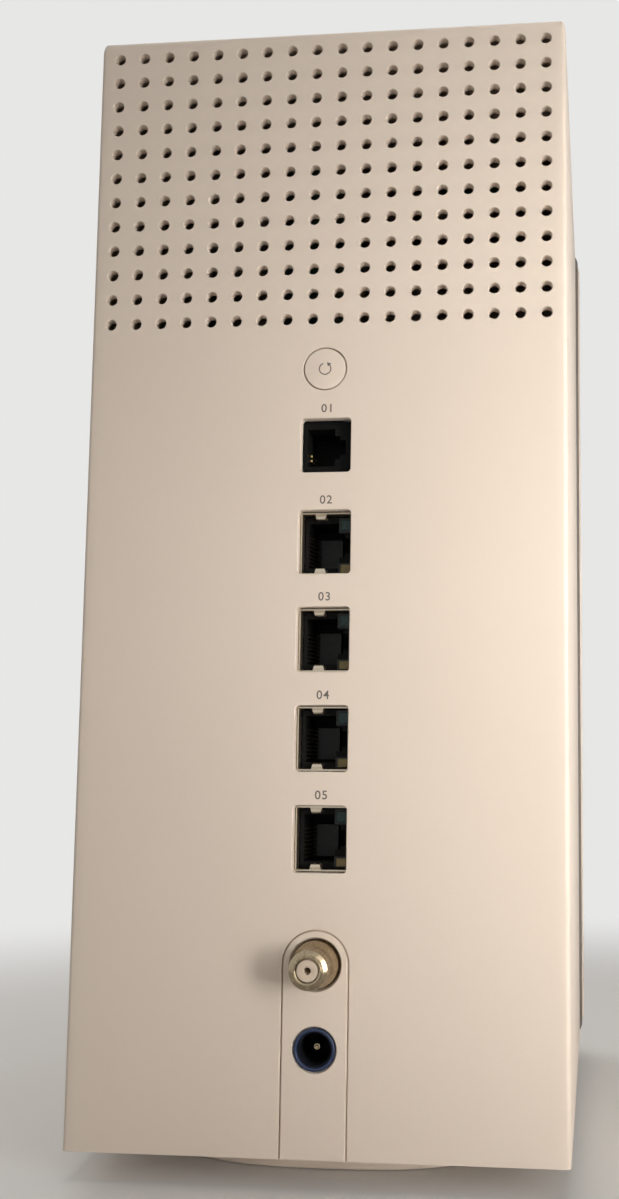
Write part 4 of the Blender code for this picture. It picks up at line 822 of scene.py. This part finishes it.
# %% [markdown]
# ## Numbers over the sockets
#
# Every socket has a plain number: a text curve in Blender's own font with a little thickness. It
# is turned into a mesh, and the mesh's points are then set upright with numpy, so the object itself
# stays at the origin.

# %% Printed numbers
DIGIT_HEIGHT, DIGIT_SHARE, NUMBER_X, NUMBER_RISE = 2.2 * MM, 0.72, 1.0 * MM, 2.5 * MM


def printed(name, text, centre):
    """Mesh of a text: its own x and y become X and Z about centre, its thickness becomes Y."""
    curve = bpy.data.curves.new(name, "FONT")
    curve.body, curve.align_x, curve.align_y = text, "CENTER", "CENTER"
    curve.size, curve.extrude, curve.offset = DIGIT_HEIGHT / DIGIT_SHARE, 0.02 * MM, 0.035 * MM
    curve.space_character = 1.15
    maker = bpy.data.objects.new(name, curve)
    mesh = bpy.data.meshes.new_from_object(maker)
    bpy.data.objects.remove(maker)
    points = np.empty(3 * len(mesh.vertices))
    mesh.vertices.foreach_get("co", points)
    across, up, out = points.reshape(-1, 3).T
    mesh.vertices.foreach_set(
        "co", packed(centre[0] + across, REAR_Y - out, centre[1] + up).ravel())
    clean_mesh(mesh)
    return mesh


tops = [PHONE[2] + PHONE_WINDOW[1]] + [place[2] + NETWORK_WINDOW[1] for place in NETWORK]
for number, top in enumerate(tops, start=1):
    name = f"socket_number_{number}"
    add_piece(name, printed(name, f"{number:02d}", (NUMBER_X, top + NUMBER_RISE)), "ink")
print("numbers:", [f"{number:02d}" for number in range(1, len(tops) + 1)])

# %% [markdown]
# ## Tongue
#
# The coax and power sockets come out through an arched insert. Like the housing, it is one network
# of tiles worked out twice: a little smaller for the front and wider for the back. The step between
# them rounds every edge, and closes the gap to the housing a little below the front, where it
# shows as a soft line.

# %% Tongue plate
TONGUE_HALF, COAX_HOLE, POWER_HOLE = 8.1 * MM, 6.45 * MM, 5.5 * MM
ROUND_BY, CLOSE_BY, CLOSE_DEPTH, TONGUE_DEPTH = 0.2 * MM, 0.28 * MM, 0.9 * MM, 4.3 * MM
COAX_XZ, POWER_XZ = COAX[[0, 2]], POWER[[0, 2]]


def tongue_network(y, lip):
    """Patches of one face: a tile round the coax hole, one round the power hole, a plain foot."""
    x, half = COAX[0], TONGUE_HALF - lip
    coax_z, power_z = COAX[2], POWER[2]
    split = (coax_z + power_z) / 2
    low = 2 * power_z - split
    arch = np.radians(divided([180, 0], [24]))[:-1]
    side = divided([coax_z, split], [8])[:-1]
    base = divided([half, -half], [16])
    frame_x = np.concatenate([half * np.cos(arch), np.full(8, half), base, np.full(7, -half)]) + x
    frame_z = np.concatenate([coax_z + half * np.sin(arch), side, np.full(17, split), side[:0:-1]])
    around = np.radians(divided([180, 0, -45, -135, -180], [24, 8, 16, 8]))[:-1]
    hole = polar(around) * (COAX_HOLE + lip) + COAX_XZ
    tile = unit_loop(16, 16) * [half, (split - low) / 2] + [x, power_z]
    power_hole = round_loop(POWER_HOLE + lip, 16, 16) + [x, power_z]
    foot = packed(base + x, y, divided([low, BASE_Z], [3])[:, None])
    return [ring_patches(packed(frame_x, frame_z)[None], hole[None], y),
            ring_patches(tile[None], power_hole[None], y), grid_patch(foot)]


front_points, tongue_faces = join_patches(tongue_network(REAR_Y, ROUND_BY))
wide = join_patches(tongue_network(REAR_Y + CLOSE_DEPTH, -CLOSE_BY))[0]
_, _, exact = merge_equal(front_points, tongue_faces, wide)
front, tongue_faces, rear = merge_equal(
    front_points, tongue_faces, wide + [0, TONGUE_DEPTH - CLOSE_DEPTH, 0])
add_piece("tongue_plate", join_skins(front, rear, exact, tongue_faces), "shell_plastic",
          stands_for="port_tongue", crease=30)


# %% [markdown]
# ## Coax connector
#
# A coax connector is a turned barrel: a narrow rim, a shoulder, a fine thread, and a flare that
# nearly fills the hole. For the thread, the radius swings by a cosine of the way along the barrel
# minus the angle, so the ridge climbs one pitch in each turn.

# %% Coax barrel, insulator and contact
SIDES, THREAD_STEPS, THREAD_RADIUS, THREAD_DEPTH, THREAD_PITCH = 96, 80, 4.72, 0.05, 0.79
tip_y = reach("coax_body", 1)[0] / MM
start = soften([(0, 8.8), (2.85, 8.8), (2.85, 0.1), (3.45, 0), (3.5, 0.45), (3.8, 0.45),
                (THREAD_RADIUS, 1.1)], [0.1, 0.15, 0.15, 0.08, 0.1])
thread = packed(THREAD_RADIUS, np.linspace(1.15, 6.2, THREAD_STEPS))
end = soften([(THREAD_RADIUS, 6.3), (4.8, 7.2), (5.7, 8.9), (5.9, 9.6), (5.9, 26), (0, 26)],
             [0.8, 0.9, 0.4, 0.4])
profile = np.concatenate([start, thread, end]) + [0, tip_y]
depth = np.zeros((len(profile), 1))
fade = np.sin(np.linspace(0, math.pi, THREAD_STEPS)) ** 0.3
depth[len(start):len(start) + THREAD_STEPS, 0] = THREAD_DEPTH * fade
ridge = depth * (np.cos(2 * math.pi * profile[:, 1:] / THREAD_PITCH - full_turn(SIDES)) - 1)
add_piece("coax_barrel", turned(profile, COAX_XZ, sides=SIDES, ridge=ridge), "nickel",
          stands_for="coax_body", crease=45)

disc_profile = soften([(0, 7.4), (0.82, 7.4), (0.82, 0.35), (2.65, 0.3), (2.75, 8.7), (0, 8.7)],
                      [0.1, 0.15, 0.2, 0.1])
add_piece("coax_disc", turned(disc_profile + [0, tip_y], COAX_XZ), "insulator",
          stands_for="coax_insulator")
eye_profile = soften([(0, 6.6), (0.25, 6.6), (0.3, 5.6), (0.55, 5.4), (0.6, 5.8), (0.6, 8.2),
                      (0, 8.2)], 0.08)
add_piece("coax_eye", turned(eye_profile + [0, tip_y], COAX_XZ, sides=32), "gold_plate",
          stands_for="coax_contact")

# %% Power ring and pin
low, high = reach("power_ring", 1) / MM
ring_profile = soften([(5.2, high), (5.2, low), (4.5, low), (4.3, low + 0.4), (4.3, high)],
                      [0.45, 0.2, 0.2])
add_piece("power_collar", turned(ring_profile, POWER_XZ, closed=True, sides=SIDES), "blue_plastic",
          stands_for="power_ring", crease=40)
sleeve_profile = [(4.28, low + 0.7), (3.9, low + 0.75), (3.9, high), (4.28, high)]
add_piece("power_sleeve", turned(sleeve_profile, POWER_XZ, closed=True), "deep_black")
pin_low, pin_high = reach("power_pin", 1) / MM
pin_low += 1.8
pin_profile = soften(
    [(0, pin_low + 0.25), (0.3, pin_low + 0.2), (0.45, pin_low), (0.8, pin_low),
     (1.0, pin_low + 0.5), (1.0, pin_high), (0, pin_high)], [0.1, 0.08, 0.15, 0.3, 0.05])
add_piece("power_prong", turned(pin_profile, POWER_XZ, sides=48), "nickel",
          stands_for="power_pin")


# %% [markdown]
# ## Inside the network sockets
#
# Each shield has two spring fingers that curl over its front edge. Behind them, the black insert carries a
# teal and an amber lamp window in lighter frames. Eight wires run along the wall of the cavity to a comb at
# its back; they are gold plate, darkened in colour as painted shade for the deep cavity. All four sockets
# use the same formulas.

# %% Fingers, windows, comb and wires
def finger(place, sign):
    """Spring finger at the upper (1) or lower (-1) edge: up the front, over, and back inside."""
    stops = np.array([(-75.0, 6.7), (-77.2, 6.25), (-78.0, 6.45), (-78.12, 7.1), (-77.9, 7.9)]) * MM
    line = soften(stops, 0.5 * MM, 5)
    path = packed(place[0] - 1.5 * MM, line[:, 0], place[2] + sign * line[:, 1])
    half = np.interp(line[:, 1], [6.25 * MM, 7.9 * MM], [1.05 * MM, 1.6 * MM])
    return bent_strip(path, half[:, None] * [1, 0, 0], 0.25 * MM)


def comb(place):
    """Plate with eight teeth on its left edge; the edge steps in and out every half pitch."""
    steps = place[2] + (np.arange(17) - 10.0) * 0.51 * MM
    inner_x, outer_x = place[0] - 3.6 * MM, place[0] - 4.3 * MM
    left = packed(np.where(np.arange(16) % 2, inner_x, outer_x).repeat(2),
                  packed(steps[:-1], steps[1:]).ravel())
    right = left * [0, 1] + [place[0] + 2.2 * MM, 0]
    return flat_strip(left, right, REAR_Y + 14.2 * MM, REAR_Y + 15.4 * MM)


def wire(place, step):
    """Contact wire: from the front of the cavity's left wall, out to the comb at the back."""
    stops = np.array([(-4.95, 6.3), (-4.7, 7.2), (-3.4, 12.4), (-3.5, 14.4), (-4.6, 16.6)]) * MM
    line = soften(stops, 0.6 * MM, 5)
    level = place[2] + (3.5 - step) * 1.02 * MM - 1.27 * MM
    path = packed(place[0] + line[:, 0], REAR_Y + line[:, 1], level)
    return bent_strip(path, np.array([0, 0, 0.16 * MM]), 0.22 * MM)


UPPER_FRAME, LOWER_FRAME = (2.7, 6.0, 3.4, 7.3, -0.12, 0.1), (2.7, 6.0, -7.3, -4.6, -0.12, 0.1)
TEAL, AMBER = (3.3, 5.7, 4.0, 6.7, -0.3, 0.0), (3.3, 5.7, -7.1, -5.0, -0.3, 0.0)
face_y = reach("network_jack_1", 1)[0]
for number, place in enumerate(NETWORK, start=1):
    face = (place[0], face_y, place[2])
    frames = [plate(face, spans, 0.3, 0.06) for spans in (UPPER_FRAME, LOWER_FRAME)]
    for kind, patch, finish, slot in (
        ("fingers", join_patches([finger(place, 1), finger(place, -1)]), "tin_plate", None),
        ("frames", join_patches(frames), "frame_plastic", "black_plastic"),
        ("teal", plate(face, TEAL, 0.25, 0.1), "teal_window", "light_plastic"),
        ("amber", plate(face, AMBER, 0.25, 0.1), "amber_window", "light_plastic"),
        ("comb", comb(place), "frame_plastic", "black_plastic"),
        # the wires' dark gold is painted shade for the cavity
        ("wires", join_patches([wire(place, step) for step in range(8)]), "gold_wire_painted_shade", "gold_plate"),
    ):
        add_piece(f"network_{kind}_{number}", patch, finish)

# %% [markdown]
# ## Seam band
#
# Between housing and front cover runs a band of dark trim plastic. It stands a little outside the housing,
# so seen from behind it draws a dark line along the side; that dark line is partly a real trim and partly
# painted shade, standing for the shaded step where the cover meets the housing. Its cross-section is swept
# round a rounded rectangle: each row of the grid is one outline, moved in and back by its own amounts.

# %% Band swept round the housing's mouth
OUTLINE_STEPS, BAND_OUT, BAND_DEEP, BAND_ROUND = (24, 48, 8), 0.9 * MM, 3.3 * MM, 5.0 * MM
trim_low, trim_high = reach("seam_trim", 1)
front_y, back_y, soft = trim_low - 0.1 * MM, trim_high + 0.1 * MM, 0.2 * MM
section = [(soft, front_y), (0.0, front_y + soft), (0.0, back_y - soft), (soft, back_y),
           (BAND_DEEP, back_y), (BAND_DEEP, front_y)]


def outline_row(half_w, z_ends, radius, less, y):
    """Rounded rectangle between two heights, less further in, at depth y."""
    low, high = z_ends
    outline = rounded_loop(half_w - less, (high - low) / 2 - less, max(radius - less, 0.02 * MM),
                           *OUTLINE_STEPS)
    return on_panel(outline + [0, (low + high) / 2], y)


def swept(rows):
    """Patch whose rows are closed outlines, the last one joined to the first."""
    return grid_patch(np.stack(rows), close_rows=True, close_columns=True)


# The band's dark tone, standing out past the housing, is partly painted shade for the shaded seam.
band_outline = SEAM_HALF + BAND_OUT, (BASE_Z + 0.4 * MM, TOP_Z + BAND_OUT), BAND_ROUND
add_piece("seam_band", swept([outline_row(*band_outline, *stop) for stop in section]),
          "trim_plastic", stands_for="seam_trim", crease=50)


# %% [markdown]
# ## Front cover
#
# One sweep makes the whole lid: its section starts at the slot for the status light, runs out over
# the face, bends round a quarter circle to the side, turns at the back edge, follows the lip that
# reaches into the housing, and comes back inside. At the slot, the outline is that of the slot.

# %% Lid swept from the slot and back to it
ROUND, SKIN, LIP_OUT, LIP_IN = 9.0 * MM, 2.5 * MM, 4.5 * MM, 6.4 * MM
SLOT_HALF_W, SLOT_HALF_H, SLOT_SOFT = 11.3 * MM, 1.5 * MM, 0.2 * MM
cover_outline = reach("front_cover", 0)[1], reach("front_cover", 2), ROUND
lip_y, face_y = reach("front_cover", 1)
cover_back = back_y + 0.2 * MM
bend = np.linspace(0, math.pi / 2, 9)


def slot_row(more, y):
    """The light slot's outline, widened by more."""
    outline = rounded_loop(SLOT_HALF_W + more, SLOT_HALF_H + more, SLOT_HALF_H + more, 24, 48, (8, 24))
    return on_panel(outline + middle("light_bar")[[0, 2]], y)


def rounding(depth, radius, angles):
    """Quarter circle from the face to the side, depth further in, as pairs (less, y)."""
    return [(depth + radius * (1 - math.sin(t)), face_y - depth - radius * (1 - math.cos(t)))
            for t in angles]


edge = soften([(0, cover_back + 2 * MM), (0, cover_back), (LIP_OUT, cover_back), (LIP_OUT, lip_y),
               (LIP_IN, lip_y), (LIP_IN, cover_back + 2 * MM), (SKIN, cover_back + 2 * MM),
               (SKIN, cover_back + 4 * MM)], 0.3 * MM, 3)
rows = [slot_row(0, face_y - SKIN), slot_row(0, face_y - SLOT_SOFT), slot_row(SLOT_SOFT, face_y)]
rows += [outline_row(*cover_outline, *stop) for stop in
         [*rounding(0, ROUND, bend), *edge, *rounding(SKIN, ROUND - SKIN, bend[::-1])]]
add_piece("cover_lid", swept(rows), "shell_plastic", stands_for="front_cover")


# %% [markdown]
# ## Foot
#
# The foot's solid ends a little above the floor, on a smaller rubber pad. A thin skirt hides the
# pad. Both follow a superellipse, which is an ellipse with fuller corners.

# %% Skirt round the foot
FOOT_SIDES = 144
foot_half = np.array([reach("base_foot", 0)[1], reach("base_foot", 1)[1]])


def foot_row(less, z):
    """Points at equal angles where |x/a|^3 + |y/b|^3 = 1, with half widths a and b cut by less."""
    ray = polar(full_turn(FOOT_SIDES))
    far = (np.abs(ray / (foot_half - less)) ** 3).sum(axis=1, keepdims=True) ** (-1 / 3)
    return np.insert(ray * far, 2, z, axis=-1)


skirt_section = soften([(1.6, 1.5), (1.6, 2.7), (-0.06, 2.7), (-0.06, 0.3), (1.6, 0.3), (1.6, 1.5)],
                       0.3)[:-1] * MM
add_piece("foot_skirt", swept([foot_row(*stop) for stop in skirt_section]), "shell_plastic")


# %% [markdown]
# ## Floor, background and light
#
# The background is one pale tone that only the camera and mirror-like reflections see, so it adds
# no light to the object. The key lamp is an upright strip, low on the right and fairly close, so
# the panel falls off towards its left and the light reaches the left wall of each vent. Two weaker
# lamps soften its shadows, two more light the top and the far side, and a dim sky fills the rest.

# %% Floor
BACKDROP, FADE_START, FADE_END = (0.80, 0.80, 0.79), 0.2, 0.5


def seen_rays(tree):
    """1 for camera, glossy and transmission rays, 0 for all others."""
    path = add_node(tree, "LightPath")
    either = add_math(tree, "MAXIMUM", path["Is Camera Ray"], path["Is Glossy Ray"])
    return add_math(tree, "MAXIMUM", either, path["Is Transmission Ray"])


def plain_backdrop(name, colour, grain_mm):
    """Matte paper with a faint fibre that turns into one even tone with the distance, so that floor
    and background meet without a line. The even tone is only for camera and mirror rays."""
    tree, shader = new_finish(name)
    texture = place_group(tree, GRAIN, Grain_mm=grain_mm, Patch_mm=400.0)
    tone = mix_colours(tree, texture["Patch"], tuple(0.985 * c for c in colour), colour)
    set_inputs(tree, shader, {"Base Color": tone, "Roughness": 0.9, "Specular IOR Level": 0.1})
    length = add_node(tree, "VectorMath", {0: object_place(tree)}, operation="LENGTH")["Value"]
    far = add_node(tree, "MapRange", {"Value": length, "From Min": FADE_START, "From Max": FADE_END},
                   interpolation_type="SMOOTHSTEP")["Result"]
    even = add_node(tree, "Emission", {"Color": (*colour, 1.0)})[0]
    fade = add_math(tree, "MULTIPLY", far, seen_rays(tree))
    mix = add_node(tree, "MixShader", {0: fade, 1: shader.outputs[0], 2: even})[0]
    set_inputs(tree, tree.nodes["Material Output"], {"Surface": mix})


across = np.linspace(-4.0, 4.0, 9)
floor_points, floor_faces = grid_patch(packed(across, across[:, None], 0.0))
floor_mesh = bpy.data.meshes.new("floor")
floor_mesh.from_pydata(floor_points.tolist(), [], floor_faces.tolist())
plain_backdrop("floor_paper", BACKDROP, 2.0)
floor_mesh.materials.append(FINISH["floor_paper"])
new_object("floor", floor_mesh)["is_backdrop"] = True
print("floor:", round(across[-1] - across[0]), "m wide")


# %% World: pale to the eye and to mirrors, dim to the rest
def set_world(seen, sky, level):
    """Light Path picks the seen colour for camera, glossy and transmission rays, else the sky."""
    world = bpy.data.worlds.new("studio")
    bpy.context.scene.world = world
    world.use_nodes = True
    tree = world.node_tree
    tree.nodes.clear()
    pale = add_node(tree, "Background", {"Color": (*seen, 1.0)})[0]
    dim = add_node(tree, "Background", {"Color": (*sky, 1.0), "Strength": level})[0]
    mix = add_node(tree, "MixShader", {0: seen_rays(tree), 1: dim, 2: pale})[0]
    add_node(tree, "OutputWorld", {"Surface": mix})


set_world(BACKDROP, (1.0, 0.97, 0.94), 0.20)


# %% Lamps
def soft_lamp(name, place, target, width, watts, colour, spread=180, height=None):
    """An area lamp that faces its target, square unless it has a height of its own. A small spread
    in degrees keeps it to a beam."""
    data = bpy.data.lights.new(name, "AREA")
    data.shape, data.size, data.size_y = "RECTANGLE", width, height or width
    data.energy, data.color = watts, colour
    data.spread = math.radians(spread)
    turn = (Vector(target) - Vector(place)).to_track_quat("-Z", "Y").to_matrix().to_4x4()
    new_object(name, data).matrix_world = Matrix.Translation(place) @ turn


WARM = (1.0, 0.97, 0.93)
soft_lamp("key_lamp", (0.28, -0.28, 0.15), (0.09, REAR_Y, 0.15), 0.1, 0.22, WARM, 60, 0.28)
soft_lamp("upper_lamp", (0.50, -0.60, 0.50), (0.05, REAR_Y, 0.22), 0.5, 0.8, WARM)
soft_lamp("fill_lamp", (0.22, -1.0, 0.07), (0.0, REAR_Y, 0.15), 0.5, 0.4, (1.0, 0.95, 0.88))
soft_lamp("top_lamp", (0.0, 0.2, 1.5), (0.0, 0.0, 0.1), 1.0, 5.0, (1.0, 0.98, 0.96))
soft_lamp("front_lamp", (-0.85, 0.95, 0.5), (0.0, 0.0, 0.15), 0.8, 7.5, (1.0, 0.97, 0.94))
print("lamps:", [lamp.name for lamp in bpy.data.lights])

# %% [markdown]
# ## Sizes
#
# The dressed part must not outgrow its solids, so the sizes of both boxes are printed one after the other.

# %% Print the sizes of both boxes
model_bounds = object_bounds()
boxes = {
    "cad": [[float(v) for v in corner] for corner in cad_bounds],
    "visual": [[float(v) for v in corner] for corner in model_bounds],
}
for label, (low, high) in boxes.items():
    print(label, "mm:", [round((b - a) / MM, 2) for a, b in zip(low, high)])
